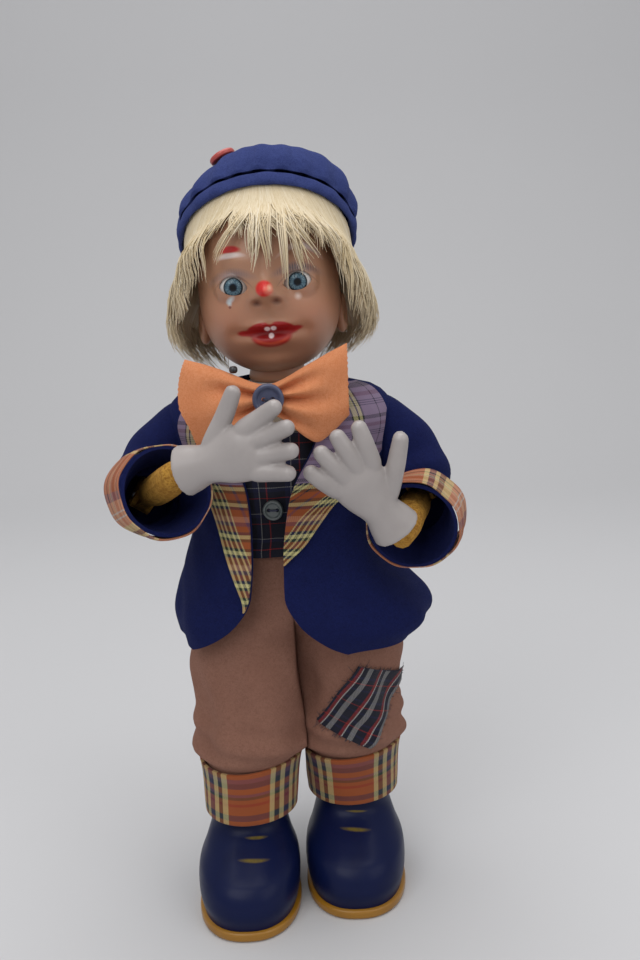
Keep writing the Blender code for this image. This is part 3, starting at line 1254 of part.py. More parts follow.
def build():
    """Build the doll from its pivots outwards."""
    body = Pivot("body", (0.0, BODY_Y, 0.0), own_frame=True)
    torso(body)
    head(Pivot("neck_pivot", (NECK_X, NECK_Y, NECK_Z), body, HEAD_ROLL, own_frame=True))
    for label, aims in ARM_AIMS.items():
        shoulder, elbow, _, _ = arm_points(aims)
        upper_pivot = Pivot(f"shoulder_pivot_{label}", shoulder, body)
        arm(label, aims, upper_pivot, Pivot(f"elbow_pivot_{label}", elbow, upper_pivot))
    for label, side, x, y in (("right", -1.0, RIGHT_ANKLE_X, RIGHT_ANKLE_Y),
                              ("left", 1.0, LEFT_ANKLE_X, LEFT_ANKLE_Y)):
        leg = Leg(label, side, x, y)
        pivot = Pivot(f"hip_pivot_{label}", leg.hip, body)
        leg_pieces(leg, pivot)
        if side > 0:
            knee_patch(leg, pivot)


build()
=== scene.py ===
"""Looks of a free-standing clown doll: painted head, blonde wig, felt clothes, hard hands and boots."""

import logging
from bisect import bisect_right
from collections.abc import Callable, Sequence
from dataclasses import dataclass
from enum import Enum
from math import acos, asin, atan2, cos, exp, pi, radians, sin, sqrt

import bpy
import numpy as np
from mathutils import Matrix, Vector


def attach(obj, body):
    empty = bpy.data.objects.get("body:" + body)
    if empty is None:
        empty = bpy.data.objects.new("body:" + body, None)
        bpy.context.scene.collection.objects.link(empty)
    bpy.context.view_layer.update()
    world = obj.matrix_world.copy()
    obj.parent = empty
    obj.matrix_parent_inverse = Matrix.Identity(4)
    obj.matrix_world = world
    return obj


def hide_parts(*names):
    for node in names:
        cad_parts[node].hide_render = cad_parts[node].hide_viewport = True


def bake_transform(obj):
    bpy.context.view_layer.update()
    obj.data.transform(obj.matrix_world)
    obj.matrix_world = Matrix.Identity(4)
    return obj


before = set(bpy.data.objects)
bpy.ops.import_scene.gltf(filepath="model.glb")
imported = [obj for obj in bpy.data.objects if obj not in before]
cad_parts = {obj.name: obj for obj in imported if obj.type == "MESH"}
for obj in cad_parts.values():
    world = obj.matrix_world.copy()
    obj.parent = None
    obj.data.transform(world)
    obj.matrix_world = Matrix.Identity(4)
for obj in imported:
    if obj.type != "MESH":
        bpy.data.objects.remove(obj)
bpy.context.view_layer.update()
log = logging.getLogger("clown_doll")

Colour = tuple[float, float, float]
Row = Sequence[float]

BODY_Y = 0.0130
FELT = 0.0018
LINING = 0.0012
CLOTH_GAP = 0.0006


class Side(Enum):
    """The two sides of the doll, with the sign of x on each."""

    RIGHT = -1
    LEFT = 1

    @property
    def label(self) -> str:
        """Return the side as it is written in names."""
        return self.name.lower()


def tint(red: int, green: int, blue: int) -> Colour:
    """Return a colour for a shader from the 0 to 255 values of a screen colour."""
    shares = [value / 255.0 for value in (red, green, blue)]
    return tuple(s / 12.92 if s <= 0.04045 else ((s + 0.055) / 1.055) ** 2.4 for s in shares)


def smooth(low: float, high: float, value: float) -> float:
    """Return 0 at low, 1 at high and a smooth change between them."""
    share = min(max((value - low) / (high - low), 0.0), 1.0)
    return share * share * (3.0 - 2.0 * share)


def in_body(x: float, y: float, z: float) -> Vector:
    """Return a point that is given from the body's axis."""
    return Vector((x, y + BODY_Y, z))


def row_at(rows: Sequence[Row], key: float) -> list[float]:
    """Return the numbers at a key on a smooth curve through rows.

    Args:
        rows: Rows of numbers in rising order of their first number, the key.
        key: Where to read the curve; it is held between the first and last key.

    Returns:
        The other numbers of a row at that key.
    """
    keys = [row[0] for row in rows]
    key = min(max(key, keys[0]), keys[-1])
    low = min(max(bisect_right(keys, key) - 1, 0), len(rows) - 2)
    step = keys[low + 1] - keys[low]
    t = (key - keys[low]) / step

    def slopes(index: int) -> list[float]:
        """Return the change of each number with the key at a row."""
        before, after = max(index - 1, 0), min(index + 1, len(rows) - 1)
        span = keys[after] - keys[before]
        return [(b - a) / span for a, b in zip(rows[before][1:], rows[after][1:])]

    first = (1 + 2 * t) * (1 - t) ** 2
    rise = t * (1 - t) ** 2 * step
    last = t * t * (3 - 2 * t)
    fall = t * t * (t - 1) * step
    return [first * a + rise * m + last * b + fall * n for a, m, b, n in
            zip(rows[low][1:], slopes(low), rows[low + 1][1:], slopes(low + 1))]


def activate(*objects: bpy.types.Object) -> None:
    """Select only these objects, with the first one active."""
    bpy.ops.object.select_all(action="DESELECT")
    for obj in objects:
        obj.select_set(True)
    bpy.context.view_layer.objects.active = objects[0]


def name_piece(name: str) -> bpy.types.Object:
    """Name the object that was just added, and its mesh, and return it."""
    obj = bpy.context.object
    obj.name = name
    obj.data.name = name
    return obj


def modify(obj: bpy.types.Object, kind: str, **settings: object) -> None:
    """Put a modifier on a piece and apply it.

    Args:
        obj: The piece.
        kind: The modifier's type.
        settings: Its settings, by name.
    """
    activate(obj)
    modifier = obj.modifiers.new(kind.title(), kind)
    for label, value in settings.items():
        setattr(modifier, label, value)
    bpy.ops.object.modifier_apply(modifier=modifier.name)


def merge_points(obj: bpy.types.Object, reach: float = 0.000002) -> None:
    """Join the points of a piece that lie together."""
    activate(obj)
    bpy.ops.object.mode_set(mode="EDIT")
    bpy.ops.mesh.select_all(action="SELECT")
    bpy.ops.mesh.remove_doubles(threshold=reach)
    bpy.ops.object.mode_set(mode="OBJECT")


def face_outwards(obj: bpy.types.Object) -> None:
    """Turn all faces of a closed piece outwards."""
    activate(obj)
    bpy.ops.object.mode_set(mode="EDIT")
    bpy.ops.mesh.select_all(action="SELECT")
    bpy.ops.mesh.normals_make_consistent(inside=False)
    bpy.ops.object.mode_set(mode="OBJECT")


def lay_grid(name: str, columns: int, rows: int, place: Callable[[float, float], Vector],
             size: tuple[float, float] = (1.0, 1.0), closed: bool = False) -> bpy.types.Object:
    """Lay a grid of cloth or skin over a shape.

    Args:
        name: The piece's name.
        columns: Cells across.
        rows: Cells along.
        place: Gives the point for shares across and along, each from 0 to 1.
        size: Width and length of the grid's map, in metres.
        closed: Whether the edges meet and are joined.

    Returns:
        The new piece, whose map is in metres.
    """
    bpy.ops.object.select_all(action="DESELECT")
    bpy.ops.mesh.primitive_grid_add(x_subdivisions=columns, y_subdivisions=rows, size=2.0, calc_uvs=True)
    obj = name_piece(name)
    for vert in obj.data.vertices:
        vert.co = place(round((vert.co.x + 1.0) * columns / 2) / columns,
                        round((vert.co.y + 1.0) * rows / 2) / rows)
    for loop in obj.data.uv_layers.active.data:
        loop.uv = (loop.uv[0] * size[0], loop.uv[1] * size[1])
    if closed:
        merge_points(obj)
    return obj


def tube_frames(path: Sequence[Row], count: int) -> list[tuple[Vector, Vector, Vector, float]]:
    """Return steps along a smooth path, each with two directions square to it.

    Args:
        path: Rows of x, y, z and radius.
        count: How many steps to take.

    Returns:
        For each step its point, the two directions and the radius.
    """
    keyed = [(i, *row) for i, row in enumerate(path)]
    steps = [row_at(keyed, (len(path) - 1) * i / (count - 1)) for i in range(count)]
    points = [Vector(step[:3]) for step in steps]
    frames = []
    across = None
    for i, point in enumerate(points):
        along = (points[min(i + 1, count - 1)] - points[max(i - 1, 0)]).normalized()
        across = along.orthogonal() if across is None else across
        across = (across - along * across.dot(along)).normalized()
        frames.append((point, across, along.cross(across), steps[i][3]))
    return frames


def lay_tube(name: str, path: Sequence[Row], sides: int, rows: int,
             ripple: Callable[[float, float], float] = lambda turn, share: 0.0) -> bpy.types.Object:
    """Lay a round tube along a path.

    Args:
        name: The piece's name.
        path: Rows of x, y, z and radius.
        sides: Faces round the tube.
        rows: Faces along it.
        ripple: Extra radius at a turn round the tube and a share along it.

    Returns:
        The tube, open where its radius isn't nothing.
    """
    frames = tube_frames(path, rows + 1)
    girth = 2 * pi * max(row[3] for row in path)
    length = sum((frames[i + 1][0] - frames[i][0]).length for i in range(rows))

    def place(share: float, along: float) -> Vector:
        """Return the tube's point at shares round and along it."""
        point, across, other, radius = frames[round(along * rows)]
        turn = 2 * pi * share
        reach = radius + (ripple(turn, along) if radius > 0.0 else 0.0)
        return point + reach * (cos(turn) * across + sin(turn) * other)

    return lay_grid(name, sides, rows, place, (girth, length), closed=True)


def soften(obj: bpy.types.Object, angle: float = 50.0) -> None:
    """Shade a piece smooth, apart from its sharp edges."""
    activate(obj)
    bpy.ops.object.shade_smooth_by_angle(angle=radians(angle))


def dress(obj: bpy.types.Object, look: bpy.types.Material, slot: str) -> bpy.types.Object:
    """Give a piece its material.

    Args:
        obj: The piece.
        look: Its material.
        slot: The material slot's name in the record; it is not used.

    Returns:
        The same piece.
    """
    obj.data.materials.clear()
    obj.data.materials.append(look)
    log.info("%s: %d faces", obj.name, len(obj.data.polygons))
    return obj


def settle(obj: bpy.types.Object, body: str, *nodes: str) -> None:
    """Let a piece move with a body and stand for nodes of the frame."""
    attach(obj, body)
    if nodes:
        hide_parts(*nodes)


class Graph:
    """A node tree with short calls that add nodes and link them."""

    def __init__(self, tree: bpy.types.NodeTree) -> None:
        """Keep the tree."""
        self.tree = tree

    def node(self, kind: str, **settings: object) -> bpy.types.Node:
        """Add a node of a kind, with its settings."""
        made = self.tree.nodes.new(f"ShaderNode{kind}")
        for label, value in settings.items():
            setattr(made, label, value)
        return made

    def feed(self, socket: bpy.types.NodeSocket, value: object) -> None:
        """Link a socket to another one, or write a plain value on it."""
        if isinstance(value, bpy.types.NodeSocket):
            self.tree.links.new(value, socket)
        elif isinstance(value, tuple) and socket.type == "RGBA":
            socket.default_value = (*value[:3], 1.0)
        else:
            socket.default_value = value

    def math(self, operation: str, *values: object, clamp: bool = False) -> bpy.types.NodeSocket:
        """Return the result of a sum on one to three values."""
        made = self.node("Math", operation=operation, use_clamp=clamp)
        for socket, value in zip(made.inputs, values):
            self.feed(socket, value)
        return made.outputs[0]

    def mix(self, share: object, first: object, second: object) -> bpy.types.NodeSocket:
        """Return a colour between two colours."""
        made = self.node("Mix", data_type="RGBA")
        self.feed(made.inputs[0], share)
        self.feed(made.inputs[6], first)
        self.feed(made.inputs[7], second)
        return made.outputs[2]

    def noise(self, place: object, scale: object, detail: float = 2.0, warp: float = 0.0) -> bpy.types.NodeSocket:
        """Return a cloudy value, finer with a larger scale."""
        made = self.node("TexNoise")
        self.feed(made.inputs["Vector"], place)
        self.feed(made.inputs["Scale"], scale)
        made.inputs["Detail"].default_value = detail
        made.inputs["Distortion"].default_value = warp
        return made.outputs[0]

    def spread(self, value: object, low: float, high: float) -> bpy.types.NodeSocket:
        """Return 0 where a value is low, 1 where it is high and a smooth change between."""
        made = self.node("MapRange", interpolation_type="SMOOTHSTEP")
        self.feed(made.inputs["Value"], value)
        made.inputs["From Min"].default_value = low
        made.inputs["From Max"].default_value = high
        return made.outputs[0]

    def bands(self, value: object, stops: Sequence[tuple[float, Colour]], sharp: bool = True) -> bpy.types.NodeSocket:
        """Return the colour of the band that a value from 0 to 1 falls in."""
        made = self.node("ValToRGB")
        ramp = made.color_ramp
        ramp.interpolation = "CONSTANT" if sharp else "LINEAR"
        ramp.elements[0].color = (*stops[0][1], 1.0)
        ramp.elements[1].color = (*stops[-1][1], 1.0)
        for position, colour in stops[1:]:
            ramp.elements.new(position).color = (*colour, 1.0)
        self.feed(made.inputs[0], value)
        return made.outputs[0]

    def axes(self, vector: object) -> tuple[bpy.types.NodeSocket, ...]:
        """Return the three numbers of a vector."""
        made = self.node("SeparateXYZ")
        self.feed(made.inputs[0], vector)
        return tuple(made.outputs)

    def bump(self, height: object, strength: float, depth: float) -> bpy.types.NodeSocket:
        """Return a normal that follows a height map."""
        made = self.node("Bump")
        made.inputs["Strength"].default_value = strength
        made.inputs["Distance"].default_value = depth
        self.feed(made.inputs["Height"], height)
        return made.outputs[0]

    def group(self, tree: bpy.types.NodeTree, **values: object) -> bpy.types.Node:
        """Place a node group, with values for its inputs."""
        made = self.node("Group", node_tree=tree)
        for label, value in values.items():
            self.feed(made.inputs[label.replace("_", " ")], value)
        return made


def new_group(name: str, inputs: dict[str, str], outputs: dict[str, str]) -> tuple:
    """Start a shader node group.

    Args:
        name: The group's name.
        inputs: The kind of each input, by name.
        outputs: The kind of each output, by name.

    Returns:
        The group's tree, its graph, and the sockets that its inside reads from and writes to.
    """
    tree = bpy.data.node_groups.new(name, "ShaderNodeTree")
    for way, sockets in (("INPUT", inputs), ("OUTPUT", outputs)):
        for label, kind in sockets.items():
            tree.interface.new_socket(label, in_out=way, socket_type=f"NodeSocket{kind}")
    start = tree.nodes.new("NodeGroupInput")
    end = tree.nodes.new("NodeGroupOutput")
    return tree, Graph(tree), start.outputs, end.inputs


def felt_fibres() -> bpy.types.NodeTree:
    """Return the group for matted fibres: cloudy colour with pale hairs, and their height."""
    tree, graph, source, target = new_group(
        "felt_fibres", {"Vector": "Vector", "Fineness": "Float", "Colour": "Color", "Deep": "Color", "Pale": "Color"},
        {"Colour": "Color", "Height": "Float"})
    cloud = graph.noise(source["Vector"], 70.0, 3.0)
    fibre = graph.noise(source["Vector"], graph.math("MULTIPLY", source["Fineness"], 800.0), 4.0, 1.5)
    hairs = graph.noise(source["Vector"], graph.math("MULTIPLY", source["Fineness"], 2300.0), 2.0, 3.0)
    ground = graph.mix(graph.spread(fibre, 0.30, 0.62), source["Deep"], source["Colour"])
    clouded = graph.mix(graph.math("MULTIPLY", graph.spread(cloud, 0.42, 0.72), 0.45), ground, source["Deep"])
    shown = graph.math("MULTIPLY", graph.spread(hairs, 0.56, 0.74), 0.55)
    graph.feed(target["Colour"], graph.mix(shown, clouded, source["Pale"]))
    graph.feed(target["Height"], graph.math("ADD", fibre, graph.math("MULTIPLY", hairs, 0.6)))
    return tree


def woven_threads() -> bpy.types.NodeTree:
    """Return the group for a plain weave of two colours that change over the cloth, and its height."""
    tree, graph, source, target = new_group(
        "woven_threads", {"Map": "Vector", "Threads": "Float", "Warp": "Color", "Weft": "Color"},
        {"Colour": "Color", "Height": "Float"})
    across, along, _ = graph.axes(source["Map"])
    turns = [graph.math("MULTIPLY", value, source["Threads"]) for value in (across, along)]
    cells = graph.math("ADD", *(graph.math("FLOOR", turn) for turn in turns))
    over = graph.math("FLOORED_MODULO", cells, 2.0)
    rounds = [graph.math("ABSOLUTE", graph.math("SINE", graph.math("MULTIPLY", turn, pi))) for turn in turns]
    warp_high = graph.math("MULTIPLY", over, rounds[0])
    weft_high = graph.math("MULTIPLY", graph.math("SUBTRACT", 1.0, over), rounds[1])
    share = graph.math("MULTIPLY_ADD", over, -0.5, 0.75)
    graph.feed(target["Colour"], graph.mix(share, source["Warp"], source["Weft"]))
    graph.feed(target["Height"], graph.math("ADD", warp_high, weft_high))
    return tree


def paint_stroke() -> bpy.types.NodeTree:
    """Return the group for one stroke of a brush on a front: an oval mask that can turn and bend."""
    tree, graph, source, target = new_group(
        "paint_stroke",
        {"Vector": "Vector", "Centre": "Vector", "Half Width": "Float", "Half Height": "Float", "Turn": "Float",
         "Bend": "Float", "Edge": "Float"}, {"Mask": "Float"})
    offset = graph.node("VectorMath", operation="SUBTRACT")
    graph.feed(offset.inputs[0], source["Vector"])
    graph.feed(offset.inputs[1], source["Centre"])
    x, _, z = graph.axes(offset.outputs[0])
    turn_cos, turn_sin = (graph.math(kind, source["Turn"]) for kind in ("COSINE", "SINE"))
    along = graph.math("MULTIPLY_ADD", x, turn_cos, graph.math("MULTIPLY", z, turn_sin))
    up = graph.math("SUBTRACT", graph.math("MULTIPLY", z, turn_cos), graph.math("MULTIPLY", x, turn_sin))
    bent = graph.math("SUBTRACT", up, graph.math("MULTIPLY", source["Bend"], graph.math("MULTIPLY", along, along)))
    wide = graph.math("POWER", graph.math("DIVIDE", along, source["Half Width"]), 2.0)
    high = graph.math("POWER", graph.math("DIVIDE", bent, source["Half Height"]), 2.0)
    reach = graph.math("SQRT", graph.math("ADD", wide, high))
    near = graph.math("SUBTRACT", 1.0, reach)
    share = graph.math("MULTIPLY_ADD", graph.math("DIVIDE", near, source["Edge"]), 0.5, 0.5, clamp=True)
    front = graph.math("LESS_THAN", graph.axes(source["Vector"])[1], 0.0)
    graph.feed(target["Mask"], graph.math("MULTIPLY", share, front))
    return tree


def handled_surface() -> bpy.types.NodeTree:
    """Return the group for a handled hard surface: faint dulling, specks and height."""
    tree, graph, source, target = new_group(
        "handled_surface", {"Vector": "Vector", "Colour": "Color", "Dull": "Color"},
        {"Colour": "Color", "Roughness": "Float", "Height": "Float"})
    cloud = graph.noise(source["Vector"], 55.0, 5.0)
    grain = graph.noise(source["Vector"], 900.0, 3.0)
    dulled = graph.math("MULTIPLY", graph.spread(cloud, 0.45, 0.75), 0.5)
    graph.feed(target["Colour"], graph.mix(dulled, source["Colour"], source["Dull"]))
    graph.feed(target["Roughness"], graph.math("MULTIPLY_ADD", cloud, 0.30, 0.22))
    graph.feed(target["Height"], graph.math("ADD", cloud, graph.math("MULTIPLY", grain, 0.15)))
    return tree


FELT_FIBRES = felt_fibres()
WOVEN_THREADS = woven_threads()
PAINT_STROKE = paint_stroke()
HANDLED_SURFACE = handled_surface()


class Look:
    """A new material with its graph, its shader and the place that its patterns read."""

    def __init__(self, name: str, turn: Matrix | None = None) -> None:
        """Start a material.

        Args:
            name: The material's name.
            turn: Place of the frame that patterns are drawn in, where it isn't the doll's own.
        """
        self.material = bpy.data.materials.new(name)
        self.material.use_nodes = True
        self.graph = Graph(self.material.node_tree)
        self.shader = self.material.node_tree.nodes["Principled BSDF"]
        coordinates = self.graph.node("TexCoord")
        self.map = coordinates.outputs["UV"]
        self.place = coordinates.outputs["Object"]
        if turn is not None:
            mapping = self.graph.node("Mapping", vector_type="TEXTURE")
            mapping.inputs["Location"].default_value = turn.to_translation()
            mapping.inputs["Rotation"].default_value = turn.to_euler()
            self.graph.feed(mapping.inputs["Vector"], self.place)
            self.place = mapping.outputs[0]

    def set(self, **values: object) -> None:
        """Write values or links on the shader's sockets, with _ for a space in a name."""
        for label, value in values.items():
            self.graph.feed(self.shader.inputs[label.replace("_", " ")], value)


@dataclass(frozen=True)
class FeltFinish:
    """Matted felt with a soft pile."""

    name: str
    colour: Colour
    deep: Colour
    pale: Colour
    fineness: float = 1.0
    pile: float = 0.35

    def make(self) -> bpy.types.Material:
        """Return the felt's material."""
        look = Look(self.name)
        fibres = look.graph.group(FELT_FIBRES, Vector=look.place, Fineness=self.fineness,
                                  Colour=self.colour, Deep=self.deep, Pale=self.pale)
        look.set(Base_Color=fibres.outputs["Colour"], Roughness=0.95, Sheen_Weight=self.pile, Sheen_Roughness=0.45,
                 Sheen_Tint=self.pale, Specular_IOR_Level=0.15,
                 Normal=look.graph.bump(fibres.outputs["Height"], 0.55, 0.0006))
        return look.material


@dataclass(frozen=True)
class PlaidFinish:
    """Woven plaid: bands of colour across and along the piece's map, each over its own repeat."""

    name: str
    warp: tuple[tuple[float, Colour], ...]
    weft: tuple[tuple[float, Colour], ...]
    warp_repeat: float
    weft_repeat: float
    threads: float = 2200.0

    def make(self) -> bpy.types.Material:
        """Return the plaid's material."""
        look = Look(self.name)
        graph = look.graph
        colours = []
        for value, repeat, stops in zip(graph.axes(look.map), (self.warp_repeat, self.weft_repeat),
                                        (self.warp, self.weft)):
            share = graph.math("FRACT", graph.math("DIVIDE", value, repeat))
            colours.append(graph.bands(share, stops))
        woven = graph.group(WOVEN_THREADS, Map=look.map, Threads=self.threads, Warp=colours[0], Weft=colours[1])
        faded = graph.noise(look.place, 60.0, 4.0)
        dim = graph.mix(graph.math("MULTIPLY", faded, 0.30), woven.outputs["Colour"], (0.02, 0.02, 0.025))
        look.set(Base_Color=dim, Roughness=0.88, Sheen_Weight=0.12, Sheen_Roughness=0.5, Specular_IOR_Level=0.2,
                 Normal=graph.bump(woven.outputs["Height"], 0.35, 0.0003))
        return look.material


@dataclass(frozen=True)
class HardFinish:
    """Hard paint or plastic with a little handling wear."""

    name: str
    colour: Colour
    dull: Colour
    gloss: float = 0.3
    relief: float = 0.08

    def look(self) -> Look:
        """Return the finish as a look that can still be painted on."""
        look = Look(self.name)
        worn = look.graph.group(HANDLED_SURFACE, Vector=look.place, Colour=self.colour, Dull=self.dull)
        look.set(Base_Color=worn.outputs["Colour"], Roughness=worn.outputs["Roughness"], Coat_Weight=self.gloss,
                 Coat_Roughness=0.18, Normal=look.graph.bump(worn.outputs["Height"], self.relief, 0.0008))
        return look

    def make(self) -> bpy.types.Material:
        """Return the finish's material."""
        return self.look().material


# Painted shade: this navy felt for the jacket and sleeves is painted darker than the cap's to stand for the shade on
# the jacket's front.
SHADED_BLUE_FELT = FeltFinish("blue_felt_painted_shade", tint(19, 27, 74), tint(14, 20, 61), tint(38, 48, 100))
# Painted light: the cap's felt is the same blue felt, painted lighter for the top light that falls on the cap.
LIT_CAP_FELT = FeltFinish("cap_felt_painted_light", tint(54, 65, 118), tint(43, 53, 102), tint(80, 92, 142))
ORANGE_FELT = FeltFinish("orange_felt_cloth", tint(226, 150, 106), tint(216, 134, 88), tint(236, 174, 136))
PINK_FELT = FeltFinish("pink_felt_cloth", tint(142, 103, 88), tint(128, 90, 76), tint(158, 121, 106))
FOAM = FeltFinish("foam_yellow", tint(190, 142, 62), tint(140, 94, 36), tint(212, 172, 102), 0.6, 0.1)
STUFFING = FeltFinish("stuffing_wool", tint(214, 206, 190), tint(188, 178, 158), tint(236, 232, 222))
GLOVE_PAINT = HardFinish("glove_paint", tint(166, 159, 157), tint(152, 145, 143), 0.08)
BOOT_PAINT = HardFinish("boot_paint", tint(14, 23, 61), tint(10, 17, 50), 0.05, 0.05)
SOLE_PAINT = HardFinish("sole_paint", tint(158, 110, 28), tint(132, 87, 20), 0.10)
STEEL = HardFinish("rod_steel", tint(186, 186, 188), tint(150, 148, 146), 0.0)
WOOD = HardFinish("post_wood", tint(198, 164, 118), tint(170, 130, 84), 0.0, 0.2)
RING_PAINT = HardFinish("neck_ring_paint", tint(216, 212, 210), tint(196, 190, 186), 0.2)
RED_PLASTIC = HardFinish("cap_button_red", tint(190, 78, 70), tint(172, 58, 52), 0.4)
GREY_PLASTIC = HardFinish("bow_button_grey", tint(74, 80, 108), tint(58, 64, 90), 0.4)
GREEN_PLASTIC = HardFinish("shirt_button_green", tint(84, 92, 92), tint(66, 76, 74), 0.5)
BLACK_PLASTIC = HardFinish("bead_black", tint(30, 28, 32), tint(20, 20, 22), 0.6)


@dataclass
class Studio:
    """The pale sweep that the doll stands on, the lamps and the camera."""

    eye: tuple[float, float, float] = (0.01957, -0.5070, 0.3450)
    pitch: float = radians(12.58)
    roll: float = radians(2.20)
    lens: float = 37.5
    sensor: float = 36.0
    sweep_half: float = 2.2
    sweep_back: float = 0.9
    sweep_radius: float = 0.7
    pale: Colour = tint(206, 206, 208)
    daylight: float = 0.46
    key_power: float = 9.0
    fill_power: float = 3.0
    top_power: float = 12.0

    def build(self) -> None:
        """Add the sweep, the lamps and the camera."""
        self.sweep()
        self.lamps()
        self.camera()
        log.info("studio ready")

    def sweep(self) -> None:
        """Add the floor that curves up behind the doll."""
        half, back, radius = self.sweep_half, self.sweep_back, self.sweep_radius

        def place(across: float, along: float) -> Vector:
            """Return the sweep's point at shares across and along it."""
            x = half * (2 * along - 1)
            turn = 0.5 * pi * min(max((across - 0.4) / 0.3, 0.0), 1.0)
            y = -half + (back + half) * min(across / 0.4, 1.0) + radius * sin(turn)
            z = radius * (1 - cos(turn)) + 2 * half * max(across - 0.7, 0.0) / 0.3
            return Vector((x, y, z - 0.0002))

        obj = lay_grid("studio_sweep", 60, 4, lambda a, b: place(a, 1 - b))
        soften(obj)
        look = Look("sweep_paper")
        cloud = look.graph.noise(look.place, 3.0)
        paper = look.graph.mix(cloud, self.pale, tuple(0.97 * part for part in self.pale))
        look.set(Base_Color=paper, Roughness=0.9, Specular_IOR_Level=0.1)
        obj.data.materials.append(look.material)

    def lamps(self) -> None:
        """Add the soft lamps and the even light of the room."""
        lamps = (("key_lamp", (-0.55, -1.15, 1.45), self.key_power, 1.1),
                 ("fill_lamp", (0.95, -0.85, 0.95), self.fill_power, 1.0),
                 ("top_lamp", (0.0, 0.15, 1.6), self.top_power, 1.2))
        for name, at, power, width in lamps:
            bpy.ops.object.light_add(type="AREA", location=at)
            lamp = bpy.context.object
            lamp.name = name
            lamp.data.energy = power
            lamp.data.size = width
            lamp.rotation_euler = (Vector((0.0, 0.0, 0.2)) - Vector(at)).to_track_quat("-Z", "Y").to_euler()
        world = bpy.data.worlds.new("room")
        world.use_nodes = True
        ground = world.node_tree.nodes["Background"]
        ground.inputs["Color"].default_value = (1.0, 1.0, 1.0, 1.0)
        ground.inputs["Strength"].default_value = self.daylight
        bpy.context.scene.world = world

    def camera(self) -> None:
        """Add the camera at the photograph's place."""
        bpy.ops.object.camera_add()
        camera = bpy.context.object
        ahead = Vector((0.0, cos(self.pitch), -sin(self.pitch)))
        right = Vector((1.0, 0.0, 0.0))
        up = right.cross(ahead)
        level = right * cos(self.roll) - up * sin(self.roll)
        upright = up * cos(self.roll) + right * sin(self.roll)
        turn = Matrix((level, upright, -ahead)).transposed().to_4x4()
        camera.matrix_world = Matrix.Translation(self.eye) @ turn
        camera.data.sensor_fit = "VERTICAL"
        camera.data.sensor_height = self.sensor
        camera.data.lens = self.lens
        bpy.context.scene.camera = camera
        bpy.context.scene.view_settings.view_transform = "Standard"


@dataclass(frozen=True)
class FaceForm:
    """A soft swelling or hollow of the face: its place, its reach and its push to the front."""

    x: float
    z: float
    reach_x: float
    reach_z: float
    push: float


@dataclass(frozen=True)
class Brush:
    """One painted stroke on the face: place, half sizes, colour, turn, bend and softness, in millimetres."""

    x: float
    z: float
    width: float
    height: float
    colour: Colour
    turn: float = 0.0
    bend: float = 0.0
    edge: float = 0.25
    cover: float = 1.0


FACE_FORMS = (
    FaceForm(0.0, 0.0050, 0.0042, 0.0100, 0.0022),
    FaceForm(0.0, -0.0045, 0.0046, 0.0044, 0.0080),
    FaceForm(0.0, -0.0062, 0.0080, 0.0062, 0.0022),
    FaceForm(0.0062, -0.0078, 0.0030, 0.0032, 0.0034),
    FaceForm(-0.0062, -0.0078, 0.0030, 0.0032, 0.0034),
    FaceForm(0.0047, -0.0098, 0.0018, 0.0013, -0.0026),
    FaceForm(-0.0047, -0.0098, 0.0018, 0.0013, -0.0026),
    FaceForm(0.0, -0.0155, 0.0016, 0.0036, -0.0009),
    FaceForm(0.0040, -0.0208, 0.0066, 0.0020, 0.0021),
    FaceForm(-0.0040, -0.0208, 0.0066, 0.0020, 0.0021),
    FaceForm(0.0, -0.0290, 0.0090, 0.0026, 0.0030),
    FaceForm(0.0, -0.0246, 0.0120, 0.0021, -0.0030),
    FaceForm(0.0148, -0.0240, 0.0030, 0.0034, -0.0014),
    FaceForm(-0.0148, -0.0240, 0.0030, 0.0034, -0.0014),
    FaceForm(0.0, -0.0352, 0.0100, 0.0026, -0.0012),
    FaceForm(0.0, -0.0425, 0.0110, 0.0070, 0.0040),
    FaceForm(0.0220, -0.0165, 0.0100, 0.0100, 0.0030),
    FaceForm(-0.0220, -0.0165, 0.0100, 0.0100, 0.0030),
    FaceForm(0.0153, -0.0019, 0.0100, 0.0062, -0.0017),
    FaceForm(-0.0153, -0.0019, 0.0100, 0.0062, -0.0017),
    FaceForm(0.0150, 0.0105, 0.0100, 0.0036, 0.0014),
    FaceForm(-0.0150, 0.0105, 0.0100, 0.0036, 0.0014),
)

